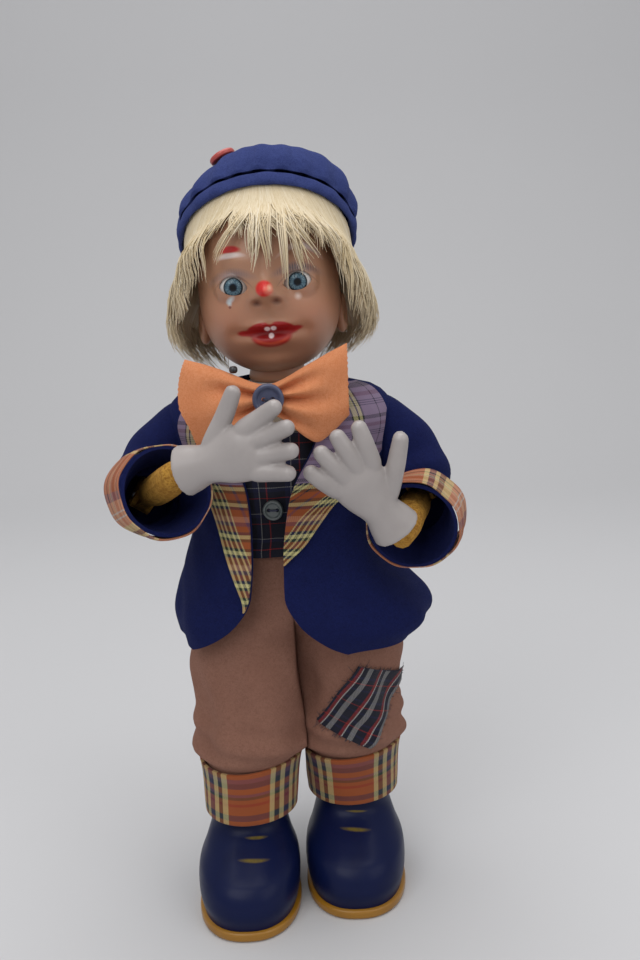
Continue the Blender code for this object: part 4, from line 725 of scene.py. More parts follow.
LIP_RED = tint(158, 12, 14)
BRUSHES = (
    Brush(-21.0, -17.0, 12.0, 9.0, tint(206, 134, 104), edge=0.9, cover=0.40),
    Brush(21.0, -17.0, 12.0, 9.0, tint(206, 134, 104), edge=0.9, cover=0.40),
    Brush(-15.8, 4.2, 8.4, 1.9, tint(104, 104, 116), 0.06, -0.022, 0.7, 0.55),
    Brush(15.8, 4.8, 8.4, 1.9, tint(104, 104, 116), -0.06, -0.022, 0.7, 0.55),
    Brush(-15.3, 3.2, 6.9, 0.6, tint(74, 54, 50), 0.0, -0.066, 0.6, 0.8),
    Brush(15.3, 3.2, 6.9, 0.6, tint(74, 54, 50), 0.0, -0.066, 0.6, 0.8),
    Brush(-15.6, 13.0, 6.0, 1.3, tint(214, 198, 194), 0.06, -0.016, 0.4, 0.9),
    Brush(-15.4, 15.8, 5.0, 1.6, tint(176, 26, 26), 0.02, -0.022, 0.25),
    Brush(18.0, 15.0, 7.6, 1.3, tint(214, 198, 196), -0.12, -0.050, 0.6, 0.8),
    Brush(-0.4, -3.4, 3.9, 3.7, tint(206, 34, 30), edge=0.14),
    # Painted highlight: the lighter red patch on the nose's lower right; the pale spot beside it is scuffed paint.
    Brush(1.7, -4.4, 1.5, 1.9, tint(222, 122, 96), 0.4, edge=0.8, cover=0.85),
    Brush(2.4, -3.2, 0.8, 1.2, tint(236, 190, 160), 0.2, edge=0.9, cover=0.8),
    Brush(-4.7, -9.8, 1.8, 1.3, tint(88, 46, 38), edge=0.9, cover=0.9),
    Brush(4.7, -9.4, 1.8, 1.3, tint(88, 46, 38), edge=0.9, cover=0.9),
    Brush(0.4, -26.2, 9.8, 5.7, LIP_RED, edge=0.10),
    Brush(0.4, -26.0, 8.2, 4.6, tint(222, 92, 62), edge=0.16, cover=0.85),
    Brush(0.4, -25.0, 8.8, 4.4, LIP_RED, edge=0.14),
    Brush(-4.6, -22.6, 7.8, 3.1, LIP_RED, 0.16, -0.014, 0.12),
    Brush(5.3, -22.6, 7.8, 3.1, LIP_RED, -0.16, -0.014, 0.12),
    Brush(0.4, -19.2, 1.5, 1.2, tint(170, 124, 98), edge=0.5, cover=0.9),
    Brush(-12.8, -24.2, 3.2, 1.5, LIP_RED, 0.0, edge=0.3),
    Brush(12.2, -23.6, 3.4, 1.3, LIP_RED, 0.12, edge=0.3),
    Brush(0.3, -25.2, 7.6, 2.2, tint(104, 6, 8), 0.0, 0.010, 0.9, 0.55),
    Brush(-1.3, -22.7, 1.35, 1.15, tint(246, 232, 232), edge=0.25),
    Brush(1.8, -22.6, 1.35, 1.15, tint(246, 232, 232), edge=0.25),
    Brush(0.3, -26.2, 1.25, 1.20, tint(246, 226, 226), edge=0.25),
    Brush(-17.3, -7.6, 1.9, 1.0, tint(206, 220, 226), 0.6, edge=0.7, cover=0.8),
    Brush(-18.0, -9.0, 0.9, 1.2, tint(206, 220, 226), 0.2, edge=0.7, cover=0.8),
    Brush(-17.9, -11.0, 0.65, 0.65, tint(116, 58, 46), edge=0.4, cover=0.9),
    Brush(15.0, -8.4, 1.2, 1.2, tint(236, 214, 204), edge=0.9, cover=0.7),
)


@dataclass
class Head:
    """The painted hard head with its ears, lids and glass eyes."""

    neck: tuple[float, float, float] = (-0.0003, 0.0150, 0.2870)
    roll: float = radians(-3.0)
    centre: tuple[float, float, float] = (0.0, -0.0020, 0.0480)
    half_width: float = 0.0360
    half_depth: float = 0.0420
    half_height: float = 0.0475
    jaw_widening: float = 0.17
    neck_radius: float = 0.0140
    neck_bottom: float = -0.0035
    eye_radius: float = 0.0092
    eye_x: float = 0.0153
    eye_z: float = 0.0461
    eye_bulge: float = 0.0030
    lid: float = 0.0008
    opening_half_width: float = 0.0067
    opening_rise: float = 0.0050
    opening_fall: float = 0.0037
    ear_half: tuple[float, float, float] = (0.0042, 0.0066, 0.0105)
    ear_drop: float = 0.0200
    ear_back: float = 0.0040

    @property
    def place(self) -> Matrix:
        """Return the place of the head's own frame."""
        return Matrix.Translation(self.neck) @ Matrix.Rotation(self.roll, 4, "Y")

    @property
    def face_place(self) -> Matrix:
        """Return the place of the frame that the face is painted in."""
        return self.place @ Matrix.Translation(self.centre)

    def eye_at(self, side: Side) -> Vector:
        """Return an eye's centre in the head's frame."""
        level = self.eye_z - self.centre[2]
        depth = sqrt(1.0 - (self.eye_x / self.half_width) ** 2 - (level / self.half_height) ** 2)
        y = self.centre[1] - self.half_depth * depth - 0.45 * self.eye_bulge + self.eye_radius
        return Vector((side.value * self.eye_x, y, self.eye_z))

    def face_point(self, unit: Vector) -> Vector:
        """Return the head's surface where a ball of one metre has a point.

        Args:
            unit: A point of the ball.

        Returns:
            The point with jaw, features and lids formed, in the head's frame.
        """
        x, y, z = unit.x * self.half_width, unit.y * self.half_depth, unit.z * self.half_height
        wide = x * (1.0 + self.jaw_widening * smooth(0.0, self.half_height, -z))
        front = smooth(0.0, 0.5 * self.half_depth, -y)
        for form in FACE_FORMS:
            near = ((x - form.x) / form.reach_x) ** 2 + ((z - form.z) / form.reach_z) ** 2
            if near < 9.0:
                y -= form.push * exp(-near) * front
        point = Vector(self.centre) + Vector((wide, y, z))
        if front > 0.0:
            for side in Side:
                eye = self.eye_at(side)
                cover = (self.eye_radius + self.lid) ** 2 - (point.x - eye.x) ** 2 - (point.z - eye.z) ** 2
                if cover > 0.0:
                    lid_y = eye.y - sqrt(cover)
                    blend = smooth(-0.0016, 0.0016, point.y - lid_y)
                    point.y = point.y + blend * (lid_y - point.y)
        return point

    def build(self) -> None:
        """Add the head, the ears and the eyes."""
        skin = self.skin()
        self.shell(skin)
        for side in Side:
            self.ear(side, skin)
            self.eye(side)

    def shell(self, skin: bpy.types.Material) -> None:
        """Add the head with its face, neck and eye openings."""
        bpy.ops.object.select_all(action="DESELECT")
        bpy.ops.mesh.primitive_uv_sphere_add(segments=176, ring_count=128, radius=1.0)
        head = name_piece("painted_head")
        for vert in head.data.vertices:
            vert.co = self.face_point(vert.co)
        for side in Side:
            modify(head, "BOOLEAN", object=self.eye_cutter(side), operation="DIFFERENCE", solver="EXACT")
            bpy.data.objects.remove(bpy.data.objects["eye_cutter"])
        neck_path = [(0.0, 0.0, z, self.neck_radius * wide) for z, wide in (
            (0.4 * self.centre[2], 1.0), (0.006, 0.97), (self.neck_bottom, 1.0), (self.neck_bottom - 0.0002, 0.0))]
        neck = lay_tube("head_neck", neck_path, 48, 12)
        face_outwards(neck)
        for vert in neck.data.vertices:
            vert.co = Matrix.Rotation(-self.roll, 4, "Y") @ vert.co
        activate(head, neck)
        bpy.ops.object.join()
        head.data.transform(self.place)
        soften(head, 60.0)
        dress(head, skin, "skin")
        settle(head, "head", "head_shell")

    def eye_cutter(self, side: Side) -> bpy.types.Object:
        """Return the almond prism that opens the lids in front of an eye."""
        eye = self.eye_at(side)
        bpy.ops.object.select_all(action="DESELECT")
        bpy.ops.mesh.primitive_circle_add(vertices=64, radius=1.0, fill_type="NGON")
        cutter = name_piece("eye_cutter")
        for vert in cutter.data.vertices:
            rise = self.opening_rise if vert.co.y > 0.0 else self.opening_fall
            lift = abs(vert.co.y) ** 1.25 * (1.0 if vert.co.y > 0.0 else -1.0)
            slant = 0.0006 * side.value * vert.co.x
            vert.co = (eye.x + self.opening_half_width * vert.co.x, eye.y - 3 * self.eye_radius,
                       eye.z + rise * lift + slant)
        activate(cutter)
        bpy.ops.object.mode_set(mode="EDIT")
        bpy.ops.mesh.select_all(action="SELECT")
        bpy.ops.mesh.extrude_region_move(TRANSFORM_OT_translate={"value": (0.0, 2.5 * self.eye_radius, 0.0)})
        bpy.ops.mesh.select_all(action="SELECT")
        bpy.ops.mesh.normals_make_consistent(inside=False)
        bpy.ops.object.mode_set(mode="OBJECT")
        return cutter

    def ear(self, side: Side, skin: bpy.types.Material) -> None:
        """Add an ear with a rim and a bowl."""
        bpy.ops.object.select_all(action="DESELECT")
        bpy.ops.mesh.primitive_uv_sphere_add(segments=40, ring_count=28, radius=1.0)
        ear = name_piece(f"ear_{side.label}")
        wide, deep, high = self.ear_half
        middle = Vector((side.value * (self.half_width - 0.10 * wide), self.ear_back, self.centre[2] - self.ear_drop))
        for vert in ear.data.vertices:
            x, y, z = vert.co
            bowl = exp(-((y + 0.25) / 0.45) ** 2 - ((z - 0.12) / 0.52) ** 2)
            canal = exp(-((y + 0.55) / 0.30) ** 2 - ((z + 0.18) / 0.24) ** 2)
            lobe = 1.0 - 0.22 * smooth(0.0, -1.0, z)
            out = x * wide
            if x * side.value > 0.0:
                out -= side.value * wide * (0.75 * bowl + 0.35 * canal)
            vert.co = middle + Vector((out, y * deep * lobe + 0.18 * high * z, z * high))
        ear.data.transform(self.place)
        soften(ear, 80.0)
        dress(ear, skin, "skin")
        settle(ear, "head")

    def skin(self) -> bpy.types.Material:
        """Return the painted skin: warm vinyl with blush and the painted features."""
        look = Look("painted_skin", self.face_place)
        graph = look.graph
        cloud = graph.noise(look.place, 45.0, 4.0)
        grain = graph.noise(look.place, 1100.0, 2.0)
        colour = graph.mix(cloud, tint(174, 129, 102), tint(163, 118, 91))
        scuffs = graph.noise(look.place, 420.0, 4.0)
        for brush in BRUSHES:
            stroke = graph.group(
                PAINT_STROKE, Vector=look.place, Centre=(0.001 * brush.x, 0.0, 0.001 * brush.z),
                Half_Width=0.001 * brush.width, Half_Height=0.001 * brush.height, Turn=brush.turn,
                Bend=1000.0 * brush.bend, Edge=brush.edge)
            uneven = graph.math("MULTIPLY_ADD", scuffs, 0.3, 0.86, clamp=True)
            cover = graph.math("MULTIPLY", stroke.outputs["Mask"], graph.math("MULTIPLY", uneven, brush.cover))
            colour = graph.mix(cover, colour, brush.colour)
        colour = self.lashes(look, colour)
        look.set(Base_Color=colour, Roughness=graph.math("MULTIPLY_ADD", cloud, 0.20, 0.34), Subsurface_Weight=0.06,
                 Subsurface_Scale=0.004, Coat_Weight=0.10, Coat_Roughness=0.35,
                 Normal=graph.bump(grain, 0.04, 0.0004))
        return look.material

    def lashes(self, look: Look, colour: bpy.types.NodeSocket) -> bpy.types.NodeSocket:
        """Return a colour with short dark lashes painted over each eye."""
        graph = look.graph
        x, _, _ = graph.axes(look.place)
        ticks = graph.math("SINE", graph.math("MULTIPLY", x, 5200.0))
        for at, strength in ((-15.4, 0.12), (15.4, 0.75)):
            zone = graph.group(PAINT_STROKE, Vector=look.place, Centre=(0.001 * at, 0.0, 0.0052), Half_Width=0.0078,
                               Half_Height=0.0017, Turn=0.0, Bend=-26.0, Edge=0.5)
            marks = graph.math("MULTIPLY", zone.outputs["Mask"], graph.spread(ticks, 0.0, 0.6))
            colour = graph.mix(graph.math("MULTIPLY", marks, strength), colour, tint(70, 66, 72))
        return colour

    def eye(self, side: Side) -> None:
        """Add a glass eye."""
        at = self.eye_at(side)
        bpy.ops.object.select_all(action="DESELECT")
        bpy.ops.mesh.primitive_uv_sphere_add(segments=64, ring_count=40, radius=self.eye_radius)
        ball = name_piece(f"glass_eye_{side.label}")
        for vert in ball.data.vertices:
            out = Vector((vert.co.x, vert.co.z)).length
            if vert.co.y < 0.0:
                vert.co.y -= 0.0006 * smooth(0.0054, 0.0030, out)
            vert.co += at
        ball.data.transform(self.place)
        soften(ball, 80.0)
        dress(ball, self.iris(side), "eye_glass")
        settle(ball, "head", f"eye_{side.label}")

    def iris(self, side: Side) -> bpy.types.Material:
        """Return the eye's material: pupil, streaked blue-grey iris and white, under a clear coat."""
        look = Look(f"glass_eye_paint_{side.label}", self.place @ Matrix.Translation(self.eye_at(side)))
        graph = look.graph
        x, y, z = graph.axes(look.place)
        reach = graph.math("SQRT", graph.math("ADD", graph.math("POWER", x, 2.0), graph.math("POWER", z, 2.0)))
        share = graph.math("MULTIPLY", reach, 100.0)
        angle = graph.math("ARCTAN2", z, x)
        spokes = graph.node("CombineXYZ")
        graph.feed(spokes.inputs[0], graph.math("SINE", angle))
        graph.feed(spokes.inputs[1], graph.math("COSINE", angle))
        graph.feed(spokes.inputs[2], graph.math("MULTIPLY", reach, 90.0))
        streaks = graph.noise(spokes.outputs[0], 9.0, 4.0)
        blue = graph.mix(graph.spread(streaks, 0.35, 0.65), tint(44, 68, 84), tint(98, 126, 138))
        rings = graph.bands(share, ((0.0, (0.004, 0.006, 0.012)), (0.13, (0.004, 0.006, 0.012)), (0.165, tint(60, 84, 110)),
                                    (0.23, (1.0, 1.0, 1.0)), (0.36, (1.0, 1.0, 1.0)), (0.425, tint(52, 66, 78)),
                                    (0.45, tint(120, 124, 128)), (0.48, (1.0, 1.0, 1.0))), sharp=False)
        white = graph.mix(graph.noise(look.place, 260.0, 3.0), tint(214, 210, 206), tint(198, 192, 188))
        base = graph.mix(graph.spread(reach, 0.0043, 0.0047), blue, white)
        tinted = graph.node("Mix", data_type="RGBA", blend_type="MULTIPLY")
        tinted.inputs[0].default_value = 1.0
        graph.feed(tinted.inputs[6], base)
        graph.feed(tinted.inputs[7], rings)
        behind = graph.math("GREATER_THAN", y, 0.0)
        look.set(Base_Color=graph.mix(behind, tinted.outputs[2], tint(214, 208, 200)), Roughness=0.16,
                 Specular_IOR_Level=0.2, Coat_Weight=0.35, Coat_Roughness=0.03)
        return look.material


@dataclass
class Cap:
    """The felt cap: gathered crown, rolled band and red button."""

    head: Head
    tilt: float = radians(38.0)
    back: float = 0.0160
    rise: float = 0.0230
    inner: float = 0.0438
    aside: float = 0.0010
    lean: float = 0.0042
    band_height: float = 0.0075
    band_wall: float = 0.0020
    crown_height: float = 0.0345
    bulge: float = 0.0008
    gathers: int = 23
    gather_depth: float = 0.0013
    button_radius: float = 0.0068
    button_turn: float = radians(-37.0)

    @property
    def local(self) -> Matrix:
        """Return the cap's place in the head's frame."""
        middle = Vector(self.head.centre) + Vector((self.aside, self.back, self.rise))
        return Matrix.Translation(middle) @ Matrix.Rotation(-self.tilt, 4, "X")

    @property
    def place(self) -> Matrix:
        """Return the cap's place in the doll's frame."""
        return self.head.place @ self.local

    def crown_point(self, turn: float, share: float) -> Vector:
        """Return a point of the crown's outer face at a turn and a share from band to top."""
        wide = self.inner + self.bulge + FELT
        top = self.crown_height
        rows = ((0.0, self.inner + FELT, 0.001), (0.22, 0.985 * wide, 0.27 * top), (0.48, 0.87 * wide, 0.60 * top),
                (0.74, 0.59 * wide, 0.87 * top), (0.92, 0.22 * wide, 0.98 * top), (1.0, 0.0, 0.99 * top))
        radius, height = row_at(rows, share)
        near_band = (1.0 - share) ** 1.2
        fold = cos(self.gathers * turn + 1.3 * sin(3 * turn)) + 0.5 * cos(17 * turn + 1.0)
        slack = 0.0012 * sin(2 * turn + 0.6) * sin(pi * share) + 0.0007 * sin(5 * turn + 6 * share) * sin(pi * share)
        radius += (self.gather_depth * near_band * (0.6 + 0.6 * fold) + slack) * min(1.0, 40 * share + 0.2) * (
            1.0 if share < 1.0 else 0.0)
        return Vector((radius * sin(turn) + self.lean * height / top, -radius * cos(turn), height))

    def build(self) -> None:
        """Add the crown, the band and the button."""
        # The felt is painted lighter than the jacket's to stand for the top light on the cap.
        felt = LIT_CAP_FELT.make()
        crown = lay_grid("cap_crown_felt", 208, 40, lambda u, v: self.crown_point(2 * pi * u, v),
                         (2 * pi * self.inner, self.crown_height), closed=True)
        modify(crown, "SOLIDIFY", thickness=FELT, offset=-1.0)
        band = lay_grid("cap_band_roll", 160, 20, self.band_point, (2 * pi * self.inner, 2 * self.band_height),
                        closed=True)
        face_outwards(band)
        for obj, node in ((crown, "cap_crown"), (band, "cap_band")):
            obj.data.transform(self.place)
            soften(obj, 70.0)
            dress(obj, felt, "blue_felt")
            settle(obj, "head", node)
        middle = self.crown_point(self.button_turn, 0.61)
        over = self.crown_point(self.button_turn, 0.66) - middle
        beside = self.crown_point(self.button_turn + 0.05, 0.61) - middle
        normal = beside.cross(over).normalized()
        Button("cap_button_disc", self.button_radius, RED_PLASTIC, "red_plastic", "head", "cap_button").build(
            self.place @ facing(middle + 0.0009 * normal, normal))

    def band_point(self, across: float, along: float) -> Vector:
        """Return a point of the rolled band at shares round the head and round the roll."""
        turn = 2 * pi * across
        roll = 2 * pi * along
        wave = 0.0004 * sin(9 * turn + 0.5) + 0.0003 * sin(23 * turn)
        thick = self.band_wall * 0.75 + wave
        high = 0.47 * self.band_height
        radius = self.inner + 0.45 * self.band_wall + thick * cos(roll)
        z = -0.5 * self.band_height + high * sin(roll) * abs(sin(roll)) ** -0.25 if abs(sin(roll)) > 1e-6 else (
            -0.5 * self.band_height)
        return Vector((radius * sin(turn), -radius * cos(turn), z))


def facing(point: Vector, normal: Vector) -> Matrix:
    """Return the place of a piece whose top looks along a normal at a point."""
    return Matrix.Translation(point) @ normal.to_track_quat("Z", "Y").to_matrix().to_4x4()


@dataclass
class Button:
    """A round button with a raised rim, a sunk face and two holes with thread."""

    name: str
    radius: float
    finish: HardFinish
    slot: str
    body: str
    node: str
    thickness: float = 0.0028
    hole_radius: float = 0.0010
    thread: Colour = tint(44, 48, 70)

    def build(self, place: Matrix) -> None:
        """Turn the button, drill it, add its thread and set it in place."""
        top = self.thickness
        rows = ((0.0, 0.0, 0.58 * top), (0.18, 0.30, 0.57 * top), (0.36, 0.62, 0.60 * top), (0.45, 0.72, 0.86 * top),
                (0.54, 0.80, top), (0.64, 0.92, 0.97 * top), (0.74, 1.0, 0.72 * top), (0.82, 1.0, 0.36 * top),
                (0.90, 0.88, 0.02 * top), (1.0, 0.0, 0.0))

        def turned(across: float, along: float) -> Vector:
            """Return the turned face's point."""
            wide, height = row_at(rows, along)
            wide = max(wide, 0.0) if 0.0 < along < 1.0 else 0.0
            angle = -2 * pi * across
            return Vector((self.radius * wide * cos(angle), self.radius * wide * sin(angle), height))

        disc = lay_grid(self.name, 48, 44, turned, closed=True)
        face_outwards(disc)
        for side in (-1, 1):
            bpy.ops.object.select_all(action="DESELECT")
            bpy.ops.mesh.primitive_cylinder_add(vertices=20, radius=self.hole_radius, depth=4 * top,
                                                location=(side * 2.2 * self.hole_radius, 0.0, 0.0))
            drill = name_piece("button_drill")
            modify(disc, "BOOLEAN", object=drill, operation="DIFFERENCE", solver="EXACT")
            bpy.data.objects.remove(drill)
        reach = 2.2 * self.hole_radius
        path = [(-reach, 0.0, 0.3 * top, 0.0), (-reach, 0.0, 0.31 * top, 0.0005), (-reach, 0.0, 0.62 * top, 0.0005),
                (0.0, 0.0, 0.82 * top, 0.00055), (reach, 0.0, 0.62 * top, 0.0005), (reach, 0.0, 0.31 * top, 0.0005),
                (reach, 0.0, 0.3 * top, 0.0)]
        thread = lay_tube(f"{self.name}_thread", path, 8, 20)
        face_outwards(thread)
        for obj, look in ((disc, self.finish), (thread, HardFinish(f"{self.name}_thread", self.thread, self.thread, 0.0))):
            obj.data.transform(place)
            soften(obj, 40.0)
            dress(obj, look.make(), self.slot)
        settle(disc, self.body, self.node)
        settle(thread, self.body)


@dataclass
class Wig:
    """The blonde wig: a thin cap of hair with pieces of tapered locks over it."""

    head: Head
    cap: Cap
    gap: float = 0.0013
    side: float = 0.0110
    back: float = 0.0050
    top: float = 0.0065
    flare_start: float = 0.0090
    flare_end: float = 0.0270
    flare: float = 0.34
    fringe_lift: float = 0.0026
    fringe_drop: float = 0.0270
    lock_drop: float = 0.0800
    nape_drop: float = 0.0870
    locks: int = 230
    strands_a_lock: int = 13
    strand_radius: float = 0.00047
    steps: int = 10
    seed: int = 7

    def edge(self, turn: float) -> float:
        """Return how far the hair reaches under the head's top at a turn from the front."""
        fringe, nape = self.fringe_drop, self.nape_drop
        rows = ((-pi, nape), (-2.3, nape), (-1.8, self.lock_drop), (-1.45, 0.074), (-1.15, 0.056), (-0.95, 0.044),
                (-0.75, fringe + 0.002), (-0.55, fringe - 0.004), (-0.12, fringe - 0.004), (0.06, fringe + 0.001),
                (0.50, fringe + 0.001), (0.75, fringe + 0.006), (1.0, 0.048), (1.2, 0.062), (1.45, 0.074), (1.8, self.lock_drop), (2.3, nape), (pi, nape))
        return row_at(rows, max(-pi, min(turn, pi)))[0]

    def arc_for(self, drop: float) -> float:
        """Return the arc from the head's top that reaches a drop."""
        level = self.head.half_height - drop
        share = level / self.head.half_height
        return acos(min(share, 1.0)) if share > 0.0 else pi / 2 - share

    def point(self, turn: float, arc: float, share: float) -> Vector:
        """Return a point in the hair.

        Args:
            turn: Turn from the front, towards the doll's left.
            arc: Arc from the head's top.
            share: 0 on the scalp, 1 on the wig's outside.

        Returns:
            The point in the head's frame, pressed in under the cap.
        """
        head = self.head
        sizes = [half + self.gap + share * (full - self.gap) for half, full in (
            (head.half_width, self.side), (head.half_depth, self.back), (head.half_height, self.top))]
        level = sizes[2] * cos(arc) if arc < pi / 2 else -(arc - pi / 2) * head.half_height
        spread = sin(arc) if arc < pi / 2 else 1.0
        height = level / head.half_height
        lift = self.fringe_lift * smooth(1.4, 0.9, abs(turn)) * smooth(0.6, 0.3, height)
        lift += head.ear_half[0] * smooth(0.55, 0.85, abs(sin(turn))) * smooth(0.15, -0.15, height)
        deep = max(-level - self.flare_start, 0.0)
        out = self.flare * abs(sin(turn)) * deep * (1.0 - (deep / self.flare_end) ** 2) + lift
        point = Vector(head.centre) + Vector(
            ((sizes[0] * spread + out) * sin(turn), -(sizes[1] * spread + out) * cos(turn), level))
        local = self.cap.local.inverted() @ point
        reach = self.cap.inner - 0.0012
        width = local.xy.length
        if width > reach:
            press = smooth(-4.6 * self.cap.band_height, -2.0 * self.cap.band_height, local.z)
            local.xy *= 1.0 + press * (reach / width - 1.0)
        return self.cap.local @ local

    def first_arc(self, turn: float) -> float:
        """Return the arc at which the hair comes out under the cap's band."""
        inverse = self.cap.local.inverted()
        for step in range(60):
            arc = 0.05 + 0.035 * step
            if (inverse @ self.point(turn, arc, 0.5)).z < -0.35 * self.cap.band_height:
                return arc
        return pi / 2

    def build(self) -> None:
        """Add the hair cap and the locks."""
        hair = self.material()
        base = lay_grid("wig_base", 128, 36, self.base_point, (0.30, 0.08), closed=True)
        modify(base, "SOLIDIFY", thickness=0.0008, offset=-1.0)
        base.data.transform(self.head.place)
        soften(base, 80.0)
        dress(base, hair, "hair")
        settle(base, "head", "wig")
        locks = self.lock_mesh()
        dress(locks, hair, "hair")
        settle(locks, "head")

    def base_point(self, across: float, along: float) -> Vector:
        """Return a point of the hair cap at shares round the head and up from its edge."""
        turn = 2 * pi * across
        turn = turn if turn <= pi else turn - 2 * pi
        first = self.first_arc(turn)
        last = max(self.arc_for(self.edge(turn) - 0.0065 - 0.0026 * sin(23 * turn) - 0.0014 * sin(41 * turn)), first + 0.05)
        ripple = 0.04 * sin(31 * turn) + 0.03 * sin(53 * turn + 1.0)
        return self.point(turn, last + (first - last) * along, 0.55 + ripple * (1.0 - along))

    def lock_mesh(self) -> bpy.types.Object:
        """Return all locks as one piece of three-sided tapered strands."""
        rng = np.random.default_rng(self.seed)
        points: list[Vector] = []
        faces: list[tuple[int, ...]] = []
        tones: list[float] = []
        for lock in range(self.locks):
            turn = 2 * pi * (lock + rng.uniform(-0.4, 0.4)) / self.locks - pi
            front = smooth(1.2, 0.7, abs(turn))
            long = 0.013 * exp(-((turn - 0.18) / 0.20) ** 2) if rng.random() < 0.42 else 0.0
            reach = self.edge(turn) + rng.normal(0.0, 0.0036) + long + (0.007 * (rng.random() < 0.10)) * front
            slant = rng.normal(0.0, 0.15) + front * (rng.normal(0.0, 0.10) + 0.30 * (turn - 0.12))
            curl = rng.uniform(0.1, 0.6)
            wave = rng.uniform(0.0, 2 * pi)
            for _ in range(self.strands_a_lock):
                self.strand(rng, turn, reach, slant, curl, wave, front, points, faces)
                tones.extend([float(rng.random())] * (3 * (self.steps - 1)))
        mesh = bpy.data.meshes.new("wig_locks")
        mesh.from_pydata(points, [], faces)
        chart = mesh.uv_layers.new(name="hair_map")
        for index, polygon in enumerate(mesh.polygons):
            along = (index // 3 % (self.steps - 1)) / self.steps
            for loop in polygon.loop_indices:
                chart.data[loop].uv = (tones[index], 0.08 * along)
        obj = bpy.data.objects.new("wig_locks", mesh)
        bpy.context.scene.collection.objects.link(obj)
        obj.data.transform(self.head.place)
        obj.data.shade_smooth()
        return obj

    def strand(self, rng: np.random.Generator, turn: float, reach: float, slant: float, curl: float, wave: float,
               front: float, points: list[Vector], faces: list[tuple[int, ...]]) -> None:
        """Add one strand of a lock.

        Args:
            rng: Source of the small differences.
            turn: The lock's turn from the front.
            reach: How far under the head's top the lock ends.
            slant: How far the lock drifts to one side.
            curl: How far its tip turns in.
            wave: Where its wave starts.
            front: 1 for the fringe, 0 elsewhere.
            points: The points so far, to add to.
            faces: The faces so far, to add to.
        """
        offset = rng.normal(0.0, 0.045)
        depth = rng.uniform(0.55, 1.08) - 0.10 * front
        first = self.first_arc(turn + offset)
        last = max(self.arc_for(reach + rng.normal(0.0, 0.0022)), first + 0.12)
        line = []
        for step in range(self.steps):
            share = step / (self.steps - 1)
            close = 1.0 - 0.70 * share ** 1.5
            side = turn + offset * close + slant * share ** 2 + 0.055 * share * sin(6.0 * share + wave)
            inside = depth - curl * (1.0 - 0.6 * front) * smooth(0.72, 1.0, share)
            line.append(self.point(side, first + (last - first) * share, max(inside, 0.12)))
        base = len(points)
        radius = self.strand_radius * rng.uniform(0.7, 1.25)
        for step, point in enumerate(line):
            share = step / (self.steps - 1)
            along = (line[min(step + 1, self.steps - 1)] - line[max(step - 1, 0)]).normalized()
            across = along.cross(point - Vector(self.head.centre)).normalized()
            other = along.cross(across)
            thin = radius * (1.0 - 0.88 * share ** 2.2)
            points.extend(point + thin * (1.5 * cos(a) * across + 0.8 * sin(a) * other)
                          for a in (0.5, 2.594, 4.689))
        for step in range(self.steps - 1):
            for corner in range(3):
                low = base + 3 * step
                beside = (corner + 1) % 3
                faces.append((low + corner, low + beside, low + 3 + beside, low + 3 + corner))

    def material(self) -> bpy.types.Material:
        """Return the hair's material: streaked pale blonde with a soft gloss."""
        look = Look("blonde_hair")
        graph = look.graph
        across, along, _ = graph.axes(look.map)
        streaks = graph.node("CombineXYZ")
        graph.feed(streaks.inputs[0], graph.math("MULTIPLY", across, 900.0))
        graph.feed(streaks.inputs[1], graph.math("MULTIPLY", along, 14.0))
        tone = graph.noise(streaks.outputs[0], 1.0, 3.0)
        cloud = graph.noise(look.place, 120.0, 2.0)
        blonde = graph.bands(tone, ((0.0, tint(170, 140, 95)), (0.36, tint(206, 186, 147)), (0.55, tint(225, 210, 181)),
                                    (0.78, tint(237, 228, 210))), sharp=False)
        shaded = graph.mix(graph.math("MULTIPLY", cloud, 0.15), blonde, tint(208, 180, 130))
        look.set(Base_Color=shaded, Roughness=0.5, Specular_IOR_Level=0.3, Sheen_Weight=0.15, Sheen_Roughness=0.3,
                 Normal=graph.bump(tone, 0.4, 0.0004))
        return look.material


NAVY = tint(34, 37, 68)
CREAM = tint(206, 198, 138)
RUST = tint(158, 82, 42)
PLUM = tint(102, 66, 90)
LAVENDER = tint(134, 116, 142)
PINE = tint(44, 54, 44)
WHITE = tint(198, 195, 190)
SALMON = tint(196, 138, 108)
BRICK = tint(150, 42, 36)
INK = tint(26, 27, 40)
ASH = tint(150, 148, 146)

LOW_PLAID = PlaidFinish(
    "facing_plaid_low",
    ((0.0, CREAM), (0.05, PINE), (0.10, CREAM), (0.14, NAVY), (0.19, CREAM), (0.23, PINE), (0.29, CREAM),
     (0.33, NAVY), (0.38, CREAM), (0.41, RUST), (0.60, PLUM), (0.66, RUST), (0.86, NAVY), (0.90, RUST)),
    ((0.0, RUST), (0.14, NAVY), (0.20, CREAM), (0.28, PINE), (0.34, RUST), (0.48, PINE), (0.54, CREAM), (0.62, NAVY),
     (0.68, RUST), (0.80, PLUM), (0.88, SALMON)), 0.030, 0.024)
HIGH_PLAID = PlaidFinish(
    "facing_plaid_high",
    ((0.0, LAVENDER), (0.36, PINE), (0.38, CREAM), (0.44, PINE), (0.46, CREAM), (0.50, PINE), (0.52, LAVENDER),
     (0.76, INK), (0.78, LAVENDER)),
    ((0.0, LAVENDER), (0.05, INK), (0.17, LAVENDER), (0.50, NAVY), (0.53, LAVENDER), (0.57, NAVY), (0.60, LAVENDER),
     (0.64, NAVY), (0.67, LAVENDER), (0.80, PLUM), (0.92, LAVENDER)), 0.050, 0.0140)
CUFF_PLAID = PlaidFinish(
    "cuff_plaid",
    ((0.0, RUST), (0.22, PLUM), (0.30, SALMON), (0.40, WHITE), (0.415, SALMON), (0.45, WHITE), (0.465, SALMON),
     (0.55, CREAM), (0.64, PINE), (0.70, CREAM), (0.74, NAVY), (0.80, CREAM), (0.84, RUST)),
    ((0.0, RUST), (0.20, SALMON), (0.36, PINE), (0.42, SALMON), (0.60, CREAM), (0.68, PLUM), (0.76, SALMON)),
    0.046, 0.021)
